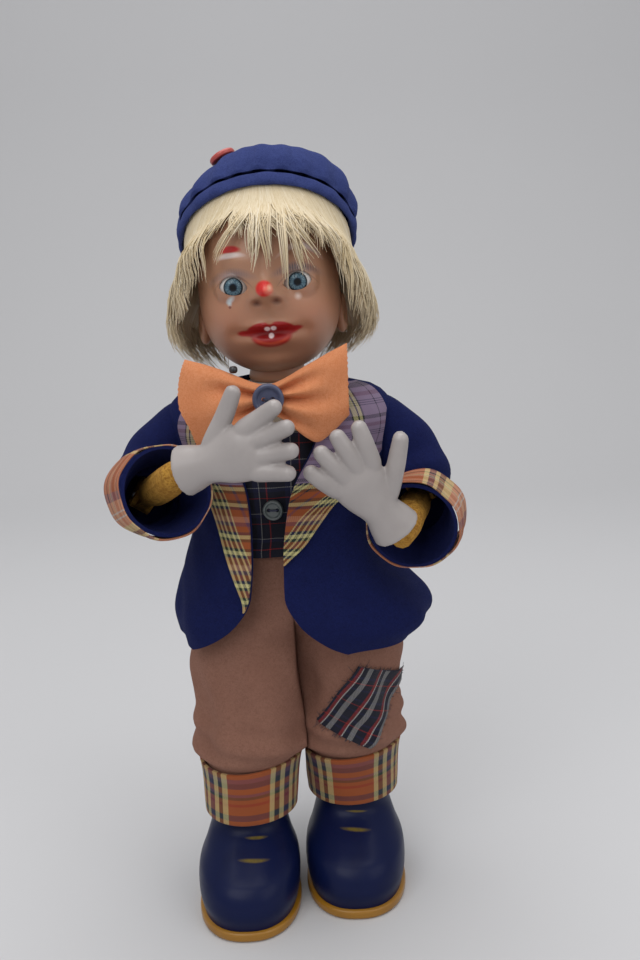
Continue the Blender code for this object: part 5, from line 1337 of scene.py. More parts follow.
TURN_UP_PLAID = PlaidFinish(
    "turn_up_plaid",
    ((0.0, RUST), (0.50, CREAM), (0.56, PINE), (0.63, CREAM), (0.70, NAVY), (0.79, CREAM), (0.86, PINE), (0.92, CREAM)),
    ((0.0, RUST), (0.10, NAVY), (0.22, RUST), (0.40, BRICK), (0.46, RUST), (0.54, PINE), (0.60, PLUM), (0.66, RUST),
     (0.78, NAVY), (0.90, PLUM)), 0.046, 0.0270)
SHIRT_PLAID = PlaidFinish(
    "shirt_plaid",
    ((0.0, INK), (0.30, NAVY), (0.46, ASH), (0.49, INK), (0.72, BRICK), (0.76, INK)),
    ((0.0, INK), (0.26, BRICK), (0.29, INK), (0.52, NAVY), (0.66, ASH), (0.69, INK)), 0.0150, 0.0140)
PATCH_PLAID = PlaidFinish(
    "patch_plaid",
    ((0.0, INK), (0.10, BRICK), (0.24, WHITE), (0.29, INK), (0.50, ASH), (0.72, INK)),
    ((0.0, INK), (0.22, NAVY), (0.30, INK), (0.52, BRICK), (0.56, INK), (0.74, NAVY), (0.84, INK)), 0.0130, 0.0105)


@dataclass
class Jacket:
    """The felt jacket with its plaid facings, and the shirt front under it."""

    rows: tuple[Row, ...] = (
        (0.148, 0.0625, 0.0480, 0.0068), (0.160, 0.0665, 0.0482, 0.0080), (0.172, 0.0610, 0.0465, 0.0047),
        (0.186, 0.0532, 0.0440, 0.0002), (0.212, 0.0470, 0.0390, 0.0),
        (0.240, 0.0515, 0.0355, 0.0), (0.262, 0.0570, 0.0345, 0.0), (0.2715, 0.0555, 0.0290, 0.0),
        (0.2782, 0.0475, 0.0238, 0.0), (0.2815, 0.0330, 0.0213, 0.0), (0.2835, 0.0202, 0.0202, 0.0))
    opening: tuple[Row, ...] = (
        (0.148, -0.045, 0.030), (0.156, -0.034, 0.018), (0.166, -0.024, 0.007), (0.180, -0.017, 0.0),
        (0.228, -0.016, 0.004), (0.262, -0.024, 0.019), (0.2835, -0.013, 0.010))
    torso: tuple[Row, ...] = (
        (0.187, 0.0360, 0.0270), (0.212, 0.0360, 0.0280), (0.240, 0.0400, 0.0300), (0.262, 0.0420, 0.0270))
    folds: int = 7
    fold_depth: float = 0.0022
    hem_tuck: float = 0.0048
    lapel_widths: tuple[tuple[Row, ...], tuple[Row, ...]] = (
        ((0.172, 0.0006), (0.190, 0.0095), (0.210, 0.0175), (0.228, 0.0230), (0.262, 0.0330), (0.2815, 0.0330)),
        ((0.196, 0.0006), (0.206, 0.0105), (0.222, 0.0215), (0.236, 0.0380), (0.248, 0.0470), (0.2815, 0.0470)))
    lapel_change: float = 0.236
    shirt_half_angle: float = radians(52.0)
    shirt_top: float = 0.2605
    armhole_radius: float = 0.0178
    facing_room: float = 0.0034
    armhole_slope: float = 0.35
    armhole_start: tuple[float, float, float] = (0.0455, 0.0030, 0.2585)

    def point(self, z: float, turn: float, out: float = 0.0) -> Vector:
        """Return a point of the jacket's inner face, or one off it.

        Args:
            z: Height.
            turn: Turn from the front, towards the doll's left.
            out: Distance off the face.

        Returns:
            The point in the doll's frame.
        """
        wide, deep, shift = row_at(self.rows, z)
        skirt = smooth(0.212, 0.148, z)
        fold = self.fold_depth * skirt * (1.0 + cos(self.folds * turn))
        crease = 0.0005 * sin(11 * turn + 90 * z) * sin(160 * z + 2 * turn) * smooth(0.278, 0.262, z)
        tuck = self.hem_tuck * smooth(0.157, 0.148, z) * max(sin(turn), 0.0)
        reach = fold + crease + out - tuck
        return in_body(shift + (wide + reach) * sin(turn), -(deep + reach) * cos(turn), z)

    def edge_turn(self, z: float, side: Side) -> float:
        """Return the turn of the front edge on one side at a height."""
        wide, _, shift = row_at(self.rows, z)
        x = row_at(self.opening, z)[0 if side is Side.RIGHT else 1]
        return asin(max(-0.95, min(0.95, (x - shift) / wide)))

    def build(self) -> None:
        """Add the jacket body, the facings and the shirt front."""
        self.body()
        for side in Side:
            self.facing(side)
        self.shirt()

    def body(self) -> None:
        """Add the jacket body with its armholes."""
        low, high = self.rows[0][0], self.rows[-1][0]

        def place(across: float, along: float) -> Vector:
            """Return the jacket's point at shares round it and up it."""
            z = low + (high - low) * along ** 1.25
            start = self.edge_turn(z, Side.LEFT)
            end = 2 * pi + self.edge_turn(z, Side.RIGHT)
            return self.point(z, start + (end - start) * across)

        jacket = lay_grid("jacket_felt", 150, 64, place, (0.33, 0.14))
        modify(jacket, "SOLIDIFY", thickness=FELT, offset=1.0)
        for side in Side:
            drill = self.armhole(side)
            modify(jacket, "BOOLEAN", object=drill, operation="DIFFERENCE", solver="EXACT")
            bpy.data.objects.remove(drill)
        modify(jacket, "BEVEL", width=0.0005, segments=2, limit_method="ANGLE", angle_limit=radians(55.0))
        soften(jacket, 60.0)
        # The felt is painted darker than the cap's to stand for the shade on the jacket's front.
        dress(jacket, SHADED_BLUE_FELT.make(), "blue_felt")
        settle(jacket, "torso", "jacket_body")

    def armhole(self, side: Side, room: float = 0.0) -> bpy.types.Object:
        """Return the round bar that cuts an armhole, with room round it."""
        x, y, z = self.armhole_start
        start = in_body(side.value * x, y, z)
        outward = Vector((side.value, 0.0, -self.armhole_slope)).normalized()
        bpy.ops.object.select_all(action="DESELECT")
        bpy.ops.mesh.primitive_cylinder_add(vertices=64, radius=self.armhole_radius + room, depth=0.056)
        drill = name_piece("armhole_drill")
        drill.data.transform(facing(start + 0.0244 * outward, outward))
        return drill

    def facing(self, side: Side) -> None:
        """Add the two plaid lengths of the facing on one front edge."""
        widths = self.lapel_widths[0 if side is Side.RIGHT else 1]
        parts = (("low", widths[0][0], self.lapel_change, LOW_PLAID),
                 ("high", self.lapel_change, widths[-1][0], HIGH_PLAID))

        def width(z: float) -> float:
            """Return the facing's width at a height."""
            return row_at(widths, z)[0]

        for label, low, high, finish in parts:

            def place(across: float, along: float) -> Vector:
                """Return the facing's point at shares across and up it."""
                z = low + (high - low) * along
                wide, _, _ = row_at(self.rows, z)
                share = across if side is Side.LEFT else 1.0 - across
                span = min(width(z) / wide, 1.20)
                turn = self.edge_turn(z, side) + side.value * span * share
                return self.point(z, turn, FELT + CLOTH_GAP)

            lapel = lay_grid(f"facing_{side.label}_{label}", 28, 44, place)
            chart = lapel.data.uv_layers.active.data
            for loop in chart:
                z = low + (high - low) * loop.uv[1]
                share = loop.uv[0] if side is Side.LEFT else 1.0 - loop.uv[0]
                loop.uv = (width(z) * (1.0 - share if label == "low" else share), z - low)
            modify(lapel, "SOLIDIFY", thickness=LINING, offset=1.0)
            drill = self.armhole(side, self.facing_room)
            modify(lapel, "BOOLEAN", object=drill, operation="DIFFERENCE", solver="EXACT")
            bpy.data.objects.remove(drill)
            soften(lapel, 60.0)
            dress(lapel, finish.make(), "plaid")
            if label == "low":
                settle(lapel, "torso", f"lapel_{side.label}")
            else:
                settle(lapel, "torso")

    def torso_point(self, z: float, turn: float, out: float) -> Vector:
        """Return a point off the stuffed torso."""
        wide, deep = row_at(self.torso, z)
        return in_body((wide + out) * sin(turn), -(deep + out) * cos(turn), z)

    def shirt(self) -> None:
        """Add the shirt front and its button."""
        low, half = 0.1945, self.shirt_half_angle

        def place(across: float, along: float) -> Vector:
            """Return the shirt's point at shares across and up it."""
            turn = half * (2 * across - 1)
            hem = low + 0.005 * across
            z = hem + (self.shirt_top - hem) * along
            pucker = 0.0004 * sin(40 * across) * sin(9 * along) + 0.0030 * smooth(0.206, 0.198, z)
            return self.torso_point(z, turn, CLOTH_GAP + pucker)

        front = lay_grid("shirt_cloth", 60, 50, place, (2 * half * 0.036, self.shirt_top - low))
        modify(front, "SOLIDIFY", thickness=LINING, offset=1.0)
        soften(front, 60.0)
        dress(front, SHIRT_PLAID.make(), "dark_plaid")
        settle(front, "torso", "shirt_front")
        z, x = 0.2215, -0.0042
        turn = asin(x / row_at(self.torso, z)[0])
        normal = Vector((sin(turn), -cos(turn), 0.0))
        Button("shirt_button_disc", 0.0052, GREEN_PLASTIC, "green_plastic", "torso", "shirt_button").build(
            facing(self.torso_point(z, turn, 2 * CLOTH_GAP + LINING), normal))


@dataclass
class BowTie:
    """The orange felt bow with folds that run to its button, and the bead beside it."""

    x: float = -0.0035
    z: float = 0.2800
    right_reach: float = 0.0400
    left_reach: float = 0.0385
    rows: tuple[Row, ...] = (
        (-1.0, 0.0190, 0.0240, 0.0032), (-0.75, 0.0162, 0.0225, 0.0058), (-0.45, 0.0118, 0.0180, 0.0070),
        (-0.18, 0.0075, 0.0115, 0.0056), (0.0, 0.0062, 0.0085, 0.0046), (0.18, 0.0085, 0.0115, 0.0056),
        (0.45, 0.0140, 0.0205, 0.0070), (0.60, 0.0168, 0.0232, 0.0064), (0.80, 0.0205, 0.0185, 0.0054),
        (1.0, 0.0240, 0.0110, 0.0032))
    creases: tuple[tuple[float, ...], tuple[float, ...]] = ((0.16, -0.40), (0.34, -0.08, -0.62))
    crease_depth: float = 0.0066
    corner_draw: float = 0.0034
    wrap: float = 0.0060
    seat: float = 0.50
    gap: float = 0.0003
    back_width: float = 0.04805
    back_depth: float = 0.0394
    bead_x: float = -0.0200
    bead_radius: float = 0.0021

    def section(self, share: float) -> tuple[float, float, float, float]:
        """Return the height over and under the knot, half depth and middle (y) at a share from end to end."""
        over, under, deep = row_at(self.rows, share)
        across = 1.0 - (self.reach(share) / self.back_width) ** 2
        behind = max(self.back_depth * sqrt(max(across, 0.0)), self.back_depth - self.wrap)
        return over, under, deep, -behind - self.seat * deep - self.gap

    def reach(self, share: float) -> float:
        """Return the x at a share from end to end."""
        return self.x + share * (self.right_reach if share < 0.0 else self.left_reach)

    def point(self, share: float, turn: float) -> Vector:
        """Return a point of the bow at a share from end to end and a turn round it."""
        over, under, deep, middle = self.section(share)
        up = sin(turn)
        rise = (over if up > 0.0 else under) * up
        bulge = 0.0042 * smooth(0.45, 1.0, -share) * (1.0 - up * up)
        bulge -= self.corner_draw * smooth(0.3, 1.0, -share) * smooth(0.1, 0.7, -up)
        fuzz = 0.00025 * sin(41 * turn) * smooth(0.9, 1.0, abs(share))
        bow_x = self.reach(share) - bulge + fuzz
        away = bow_x - self.x
        radius = sqrt(away * away + rise * rise)
        angle = atan2(rise, abs(away) + 0.004)
        pinch = 0.0
        for at in self.creases[0 if away < 0.0 else 1]:
            pinch += exp(-((angle - at) / 0.13) ** 2) * smooth(0.036, 0.012, radius)
        front = max(cos(turn), 0.0)
        ripple = 0.0007 * sin(9 * angle + 1.0) * smooth(0.010, 0.030, radius)
        return in_body(bow_x, middle - deep * cos(turn) + front * (self.crease_depth * min(pinch, 1.0) + ripple),
                       self.z + rise)

    def build(self) -> None:
        """Add the bow, its button and the bead."""
        steps = 72

        def place(across: float, along: float) -> Vector:
            """Return the bow's point at shares round and along it, closed at both ends."""
            share = 2 * (along * steps - 1) / (steps - 2) - 1
            if abs(share) > 1.0:
                shut = 1.0 if share > 0.0 else -1.0
                middle = self.section(shut)[3]
                level = self.point(shut, 2 * pi * across)
                return Vector((level.x, middle + BODY_Y, level.z))
            return self.point(share, 2 * pi * across)

        bow = lay_grid("bow_felt", 96, steps, place, (0.10, self.right_reach + self.left_reach), closed=True)
        face_outwards(bow)
        soften(bow, 60.0)
        dress(bow, ORANGE_FELT.make(), "orange_felt")
        settle(bow, "torso", "bow_tie")
        front = min(self.point(share, 0.06 * step).y for share in (-0.19, 0.0, 0.19) for step in range(-8, 9))
        Button("bow_button_disc", 0.0075, GREY_PLASTIC, "grey_plastic", "torso", "bow_button").build(
            facing(Vector((self.x, front - 0.0004, self.z)), Vector((0.0, -1.0, 0.0))))
        high, _, _, middle = self.section((self.bead_x - self.x) / self.right_reach)
        at = in_body(self.bead_x, middle, self.z + high + self.bead_radius + 0.0003)
        bpy.ops.object.select_all(action="DESELECT")
        bpy.ops.mesh.primitive_uv_sphere_add(segments=28, ring_count=18, radius=self.bead_radius)
        bead = name_piece("collar_bead_ball")
        for vert in bead.data.vertices:
            flat = 1.0 - 0.15 * smooth(0.7, 1.0, abs(vert.co.z) / self.bead_radius)
            vert.co = at + Vector((vert.co.x, vert.co.y, flat * vert.co.z))
        soften(bead, 80.0)
        dress(bead, BLACK_PLASTIC.make(), "black_plastic")
        settle(bead, "torso", "collar_bead")


@dataclass
class Arm:
    """One arm: felt sleeve, turned-back plaid cuff, foam limbs and the hard gloved hand."""

    side: Side
    upper: Vector
    fore: Vector
    glove: Vector
    hand: Vector
    thumb: Vector
    shoulder: tuple[float, float, float] = (0.0525, 0.0030, 0.2620)
    upper_length: float = 0.0460
    armhole_radius: float = 0.0152
    elbow_radius: float = 0.0150
    mouth_radius: float = 0.0205
    cuff_stand: float = 0.0066
    start_x: float = 0.0435
    mouth_rim: float = 0.0122
    wrist: float = 0.0088
    palm_half_width: float = 0.0130
    palm_half_depth: float = 0.0066
    palm_length: float = 0.0400
    finger_length: float = 0.0605
    finger_radius: float = 0.0045
    fingertip_radius: float = 0.0038
    finger_fan: float = radians(16.0)
    thumb_fan: float = radians(37.0)
    thumb_length: float = 0.0490
    voxel: float = 0.0007

    @property
    def shoulder_at(self) -> Vector:
        """Return the shoulder's pivot."""
        x, y, z = self.shoulder
        return in_body(self.side.value * x, y, z)

    @property
    def elbow_at(self) -> Vector:
        """Return the elbow's pivot."""
        return self.shoulder_at + self.upper_length * self.upper.normalized()

    def sleeve_path(self) -> list[Row]:
        """Return the sleeve's middle line and inner radius, from armhole to mouth."""
        out = self.side.value
        elbow, fore = self.elbow_at, self.fore.normalized()
        half_way = (self.shoulder_at + elbow) / 2
        start = self.shoulder_at
        path = [(out * self.start_x, start.y, start.z - 0.0035, self.armhole_radius),
                (out * (self.start_x + 0.0090), start.y, start.z - 0.0060, self.armhole_radius),
                (half_way.x + out * 0.0040, half_way.y + 0.002, half_way.z - 0.001, self.armhole_radius)]
        for along, drop, lean, opened in ((0.002, -0.0010, -0.0010, 0.0), (0.016, 0.0025, 0.0, 0.0),
                                          (0.030, 0.0040, 0.0010, 0.5), (0.043, 0.0050, 0.0020, 1.0)):
            at = elbow + fore * along
            radius = self.elbow_radius + opened * (self.mouth_radius - self.elbow_radius)
            path.append((at.x + out * lean, at.y, at.z - drop, radius))
        return path

    def build(self) -> None:
        """Add the sleeve, the cuff and the hand."""
        self.sleeve()
        self.cuff()
        self.glove_piece()

    def sleeve(self) -> None:
        """Add the sleeve."""

        def ripple(turn: float, share: float) -> float:
            """Return the folds of the sleeve, deepest inside the elbow."""
            elbow = exp(-((share - 0.50) / 0.16) ** 2)
            return 0.0016 * elbow * sin(46 * share + 2 * sin(turn)) + 0.0006 * sin(3 * turn + 17 * share) * sin(pi * share)

        sleeve = lay_tube(f"sleeve_felt_{self.side.label}", self.sleeve_path(), 72, 84, ripple)
        face_outwards(sleeve)
        self.turn_away(sleeve)
        modify(sleeve, "SOLIDIFY", thickness=FELT, offset=1.0)
        soften(sleeve, 60.0)
        # The sleeve's felt carries the same painted shade as the jacket's.
        dress(sleeve, SHADED_BLUE_FELT.make(), "blue_felt")
        start = self.elbow_at - 0.010 * self.upper.normalized()
        end = self.elbow_at + 0.012 * self.fore.normalized()
        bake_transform(sleeve)
        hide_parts(f"sleeve_{self.side.label}")

    def turn_away(self, obj: bpy.types.Object) -> None:
        """Turn an open tube's faces away from the sleeve's middle line."""
        frames = tube_frames(self.sleeve_path(), 40)
        away = 0.0
        for polygon in obj.data.polygons:
            nearest = min(frames, key=lambda step: (step[0] - polygon.center).length)
            away += polygon.normal.dot(polygon.center - nearest[0])
        if away < 0.0:
            activate(obj)
            bpy.ops.object.mode_set(mode="EDIT")
            bpy.ops.mesh.select_all(action="SELECT")
            bpy.ops.mesh.flip_normals()
            bpy.ops.object.mode_set(mode="OBJECT")

    def cuff(self) -> None:
        """Add the plaid cuff that is turned back over the sleeve's mouth."""
        rows = 120
        frames = tube_frames(self.sleeve_path(), rows + 1)
        first = round(0.755 * rows)
        gap = FELT + CLOTH_GAP
        profile = [(first + step * (rows - first) / 12, gap + 0.0004 * sin(step)) for step in range(13)]

        def place(across: float, along: float) -> Vector:
            """Return the cuff's point at shares round it and along its fold."""
            step, rise = profile[round(along * (len(profile) - 1))]
            point, side, other, radius = frames[min(round(step), rows)]
            turn = 2 * pi * across
            wave = 0.0005 * sin(3 * turn + 1.0) + 0.0003 * sin(8 * turn)
            outward = cos(turn) * side + sin(turn) * other
            shown = max(outward.dot(Vector((0.8 * self.side.value, -0.45, 0.4))), 0.0)
            return point + (radius + rise + wave + self.cuff_stand * (1.0 - along) * shown) * outward

        cuff = lay_grid(f"cuff_plaid_{self.side.label}", 96, len(profile) - 1, place,
                        (2 * pi * self.mouth_radius, 0.032), closed=True)
        self.turn_cuff(cuff, frames[rows - 8][0])
        modify(cuff, "SOLIDIFY", thickness=0.8 * LINING, offset=1.0)
        modify(cuff, "SUBSURF", levels=1, render_levels=1)
        soften(cuff, 70.0)
        dress(cuff, CUFF_PLAID.make(), "plaid")
        settle(cuff, f"forearm_{self.side.label}", f"sleeve_cuff_{self.side.label}")

    def turn_cuff(self, cuff: bpy.types.Object, middle: Vector) -> None:
        """Turn the cuff's outer faces away from its middle."""
        outer = [polygon for polygon in cuff.data.polygons if (polygon.center - middle).length > self.mouth_radius]
        if sum(polygon.normal.dot(polygon.center - middle) for polygon in outer) < 0.0:
            activate(cuff)
            bpy.ops.object.mode_set(mode="EDIT")
            bpy.ops.mesh.select_all(action="SELECT")
            bpy.ops.mesh.flip_normals()
            bpy.ops.object.mode_set(mode="OBJECT")

    def glove_piece(self) -> None:
        """Add the hard hand: flared wrist, palm, four fingers and a thumb."""
        along = self.hand.normalized()
        thumb = (self.thumb - along * self.thumb.dot(along)).normalized()
        normal = along.cross(thumb)
        mouth = in_body(*self.glove)
        length, wide, deep = self.palm_length, self.palm_half_width, self.palm_half_depth
        stations = ((0.0, self.mouth_rim, 0.92 * self.mouth_rim), (0.14, 0.90 * self.mouth_rim, 0.83 * self.mouth_rim),
                    (0.34, 1.05 * self.wrist, self.wrist), (0.62, 0.94 * wide, 1.06 * deep), (0.85, wide, deep),
                    (1.0, 0.80 * wide, 0.62 * deep))
        rows = 40

        def palm_point(across: float, share: float) -> Vector:
            """Return the palm's point at shares round and along it."""
            if share == 0.0 or share == 1.0:
                return mouth + along * length * share
            forward = (share * rows - 1) / (rows - 2)
            half_width, half_depth = row_at(stations, forward)
            turn = 2 * pi * across
            return (mouth + along * length * forward + half_width * cos(turn) * thumb
                    + half_depth * sin(turn) * normal)

        hand = lay_grid(f"glove_hand_{self.side.label}", 40, rows, palm_point, closed=True)
        face_outwards(hand)
        fingers = [(0.86, 0.72 * wide * spread, self.finger_fan * spread, self.finger_length * reach)
                   for spread, reach in ((1.0, 0.985), (0.33, 1.0), (-0.33, 0.975), (-1.0, 0.925))]
        fingers.append((0.42, 0.50 * wide, self.thumb_fan, self.thumb_length))
        pieces = [hand]
        for base, sideways, fan, reach in fingers:
            root = mouth + along * length * base + sideways * thumb
            tip = mouth + reach * (cos(fan) * along + sin(fan) * thumb)
            lean = (tip - root).normalized()
            middle = (root + tip) / 2 - 0.0012 * normal
            end = tip - lean * self.fingertip_radius
            radii = ((root, self.finger_radius), (middle, 0.98 * self.finger_radius), (end, self.fingertip_radius))
            path = [(*(root - 0.002 * lean), 0.0)] + [(*point, radius) for point, radius in radii]
            path += [(*(end + lean * self.fingertip_radius * sin(a)), self.fingertip_radius * cos(a))
                     for a in (0.5, 0.95, 1.3, pi / 2)]
            finger = lay_tube("finger", path, 20, 40)
            face_outwards(finger)
            pieces.append(finger)
        activate(*pieces)
        bpy.ops.object.join()
        modify(hand, "REMESH", mode="VOXEL", voxel_size=self.voxel)
        modify(hand, "SMOOTH", factor=0.5, iterations=5)
        drill_path = [(*(mouth - 0.004 * along), 0.0), (*(mouth - 0.0039 * along), 0.0105),
                      (*(mouth + 0.008 * along), 0.0078), (*(mouth + 0.0081 * along), 0.0)]
        drill = lay_tube("glove_drill", drill_path, 40, 12)
        face_outwards(drill)
        modify(hand, "BOOLEAN", object=drill, operation="DIFFERENCE", solver="EXACT")
        bpy.data.objects.remove(drill)
        soften(hand, 50.0)
        dress(hand, GLOVE_PAINT.make(), "glove_white")
        settle(hand, f"forearm_{self.side.label}", f"hand_{self.side.label}")


@dataclass
class Leg:
    """One leg: half of the felt trousers, plaid turn-up and hard boot."""

    side: Side
    ankle: tuple[float, float, float]
    mid_x: float = 0.003
    hip_spread: float = 0.0270
    hip_z: float = 0.146
    waist_z: float = 0.1990
    waist_half: tuple[float, float] = (0.0435, 0.0315)
    leg_half: tuple[float, float] = (0.0285, 0.0305)
    bulge: float = 0.0015
    seam_shift: float = 0.0042
    inner_slack: float = 0.0045
    outer_slack: float = 0.0028
    turn_up_top: float = 0.0785
    turn_up_bottom: float = 0.0508
    shaft: float = 0.0205
    ankle_cloth: float = 0.0036
    side_gap: float = 0.00006
    boot_top: float = 0.0640
    toe: float = 0.0560
    heel: float = 0.0300
    toe_half: float = 0.0305
    heel_half: float = 0.0245
    toe_height: float = 0.0330
    sole: float = 0.0050
    welt: float = 0.0010
    rust_half: float = 0.0115

    @property
    def hip(self) -> Vector:
        """Return the hip's pivot, from the body's axis."""
        return Vector((self.mid_x + self.side.value * self.hip_spread, 0.0, self.hip_z))

    def middle(self, z: float) -> Vector:
        """Return the middle of the leg at a height, from the body's axis."""
        share = (self.hip_z - z) / (self.hip_z - self.boot_top)
        at = self.hip + share * (Vector((self.ankle[0], self.ankle[1], self.boot_top)) - self.hip)
        return Vector((at.x, at.y, z))

    def cloth(self, z: float, turn: float, out: float = 0.0, folds: float = 1.0) -> Vector:
        """Return a point on the trouser leg.

        Args:
            z: Height.
            turn: Turn from the front, towards the doll's left.
            out: Distance off the cloth.
            folds: How deep its folds are, from 0 to 1.

        Returns:
            The point in the doll's frame, on its own side of the middle seam.
        """
        top, low = 0.150, self.turn_up_top
        wide, deep = self.leg_half
        rows = ((self.turn_up_bottom, self.shaft + 0.75 * self.ankle_cloth, self.shaft + 0.85 * self.ankle_cloth),
                (low, self.shaft + 1.35 * self.ankle_cloth, self.shaft + 1.6 * self.ankle_cloth),
                (0.10 * top + 0.90 * low, wide + 1.6 * self.bulge, deep + 1.2 * self.bulge),
                (0.45 * top + 0.55 * low, wide - self.bulge, deep - self.bulge),
                (0.75 * top + 0.25 * low, wide + 0.3 * self.bulge, deep), (top, wide, deep))
        half_wide, half_deep = row_at(rows, z)
        centre = self.middle(min(z, top))
        up = smooth(0.146, 0.172, z)
        waist = Vector((self.mid_x * (1.0 - smooth(0.156, self.waist_z, z)), 0.0, z))
        narrow = 1.0 - 0.07 * smooth(0.170, self.waist_z, z)
        half_wide += up * (self.waist_half[0] * narrow - half_wide)
        half_deep += up * (self.waist_half[1] * narrow - half_deep)
        centre = centre.lerp(waist, up)
        sag = smooth(0.116, 0.088, z) * smooth(low - 0.001, low + 0.006, z)
        hang = smooth(0.150, 0.126, z) * smooth(low, low + 0.016, z)
        drape = 0.0019 * sin(3 * turn + 34 * (z - 0.1) * self.side.value + 0.8) + 0.0012 * sin(7 * turn + 50 * z)
        turn = (turn + pi) % (2 * pi) - pi
        inward = -self.side.value * turn
        if self.side is Side.LEFT:
            crotch = -0.0085 * exp(-((inward - 0.80) / 0.42) ** 2) * smooth(0.094, 0.124, z) * smooth(0.186, 0.164, z)
        else:
            crotch = 0.0024 * exp(-((inward - 0.75) / 0.35) ** 2) * smooth(0.092, 0.112, z) * smooth(0.168, 0.140, z)
        fold = folds * (0.0016 * sag * sin(2 * turn + 400 * (z - 0.09)) + hang * drape + crotch)
        reach = out + fold
        low_share = smooth(0.132, 0.086, z)
        slack = self.inner_slack if inward > 0.0 else (
            self.outer_slack * smooth(0.086, 0.102, z) * smooth(0.150, 0.132, z) * (self.side is Side.LEFT))
        slack *= smooth(low - 0.001, low + 0.012, z)
        shift = 0.5 * self.seam_shift * low_share
        x = centre.x + shift * (self.side is Side.RIGHT) + (half_wide + reach + slack) * sin(turn)
        limit = self.mid_x + self.seam_shift * low_share + self.side.value * self.side_gap
        x = max(x, limit) if self.side is Side.LEFT else min(x, limit)
        return in_body(x, centre.y - (half_deep + reach) * cos(turn), z)

    def build(self) -> None:
        """Add the trouser half, the turn-up and the boot."""
        self.trousers()
        self.turn_up()
        self.boot()

    def trousers(self) -> None:
        """Add this half of the trousers."""
        low, high = self.turn_up_bottom, self.waist_z
        half = lay_grid(f"trouser_felt_{self.side.label}", 96, 110,
                        lambda u, v: self.cloth(low + (high - low) * v, 2 * pi * u), (0.18, high - low), closed=True)
        modify(half, "SOLIDIFY", thickness=FELT, offset=-1.0)
        soften(half, 60.0)
        dress(half, PINK_FELT.make(), "pink_felt")
        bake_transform(half)
        if self.side is Side.RIGHT:
            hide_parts("trouser_leg_right")
        else:
            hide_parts("trouser_leg_left", "trouser_seat")

    def turn_up(self) -> None:
        """Add the plaid turn-up."""
        low, high = self.turn_up_bottom - 0.0014, self.turn_up_top + 0.0004

        def place(across: float, along: float) -> Vector:
            """Return the turn-up's point at shares round and up it."""
            turn = 2 * pi * across - pi
            rise = 0.0016 * sin(turn + 0.4) + 0.0007 * sin(3 * turn)
            loose = 0.0004 * along * (1.0 + sin(4 * turn + 1.0)) + CLOTH_GAP
            z = low + (high - low) * along
            point = self.cloth(max(z, self.turn_up_bottom), turn, loose, 0.0)
            return point + Vector((0.0, 0.0, z - max(z, self.turn_up_bottom) + rise * (0.3 + 0.7 * along)))

        cuff = lay_grid(f"turn_up_plaid_{self.side.label}", 96, 16, place, (2 * pi * 0.0262, high - low), closed=True)
        for loop in cuff.data.uv_layers.active.data:
            loop.uv = (loop.uv[0] - pi * 0.0262 + self.rust_half, loop.uv[1])
        modify(cuff, "SOLIDIFY", thickness=0.0018, offset=1.0)
        modify(cuff, "BEVEL", width=0.0004, segments=2, limit_method="ANGLE", angle_limit=radians(55.0))
        soften(cuff, 60.0)
        dress(cuff, TURN_UP_PLAID.make(), "plaid")
        settle(cuff, f"leg_{self.side.label}", f"turn_up_{self.side.label}")

    def outline(self, z: float, turn: float, toe: float, heel: float, toe_half: float, heel_half: float) -> Vector:
        """Return a point of a level outline of the boot, wider at the toe."""
        ahead = 0.5 * (1.0 + cos(turn))
        wide = heel_half + (toe_half - heel_half) * ahead
        y = 0.5 * (heel - toe) - 0.5 * (heel + toe) * cos(turn)
        round_x = abs(sin(turn)) ** 0.85 * (1.0 if sin(turn) > 0.0 else -1.0)
        return in_body(self.ankle[0] + wide * round_x, self.ankle[1] + y, z)

    def boot(self) -> None:
        """Add the bulbous boot and its sole."""
        toe, heel, shaft, welt = self.toe, self.heel, self.shaft, self.welt
        low = self.sole + 0.0003
        instep = 0.5 * (self.toe_height + 0.0490)
        rows = ((low, toe - 2 * welt, heel - 2 * welt, self.toe_half - 2 * welt, self.heel_half - 2 * welt),
                (0.45 * self.toe_height, toe - 0.0005, heel, self.toe_half - 0.0003, self.heel_half),
                (0.78 * self.toe_height, 0.90 * toe, 0.98 * heel, 0.97 * self.toe_half, self.heel_half),
                (self.toe_height, 0.5 * (toe + shaft), 0.5 * (heel + shaft), 0.5 * (self.toe_half + shaft),
                 0.5 * (self.heel_half + shaft)),
                (instep, 1.12 * shaft, 1.08 * shaft, 1.03 * shaft, 1.02 * shaft),
                (0.0490, *(4 * [0.95 * shaft])), (self.boot_top, *(4 * [0.88 * shaft])))
        count = 62

        def upper_point(across: float, along: float) -> Vector:
            """Return the boot's point at shares round and up it, closed at both ends."""
            share = min(max((along * count - 1) / (count - 2), 0.0), 1.0)
            z = low + (self.boot_top - low) * share
            if along in (0.0, 1.0):
                return in_body(self.ankle[0], self.ankle[1], z)
            return self.outline(z, 2 * pi * across, *row_at(rows, z))

        sole_rows = ((0.0, 1.0 * welt), (0.12, 0.35 * welt), (0.28, 0.0), (0.75, 0.0), (0.90, 0.2 * welt), (1.0, 0.7 * welt))

        def sole_point(across: float, along: float) -> Vector:
            """Return the sole's point at shares round and up it, closed at both ends."""
            share = min(max((along * 18 - 1) / 16, 0.0), 1.0)
            if along in (0.0, 1.0):
                return in_body(self.ankle[0], self.ankle[1] - 0.5 * (toe - heel), self.sole * share)
            inset = row_at(sole_rows, share)[0]
            return self.outline(self.sole * share, 2 * pi * across, toe - inset, heel - inset, self.toe_half - inset,
                                self.heel_half - inset)

        upper = lay_grid(f"boot_shell_{self.side.label}", 96, count, upper_point, closed=True)
        sole = lay_grid(f"boot_sole_rim_{self.side.label}", 96, 18, sole_point, closed=True)
        for obj, look, slot, node in ((upper, self.boot_look(), "boot_blue", "boot_upper"),
                                      (sole, SOLE_PAINT.make(), "sole_yellow", "boot_sole")):
            face_outwards(obj)
            soften(obj, 60.0)
            dress(obj, look, slot)
            settle(obj, f"leg_{self.side.label}", f"{node}_{self.side.label}")

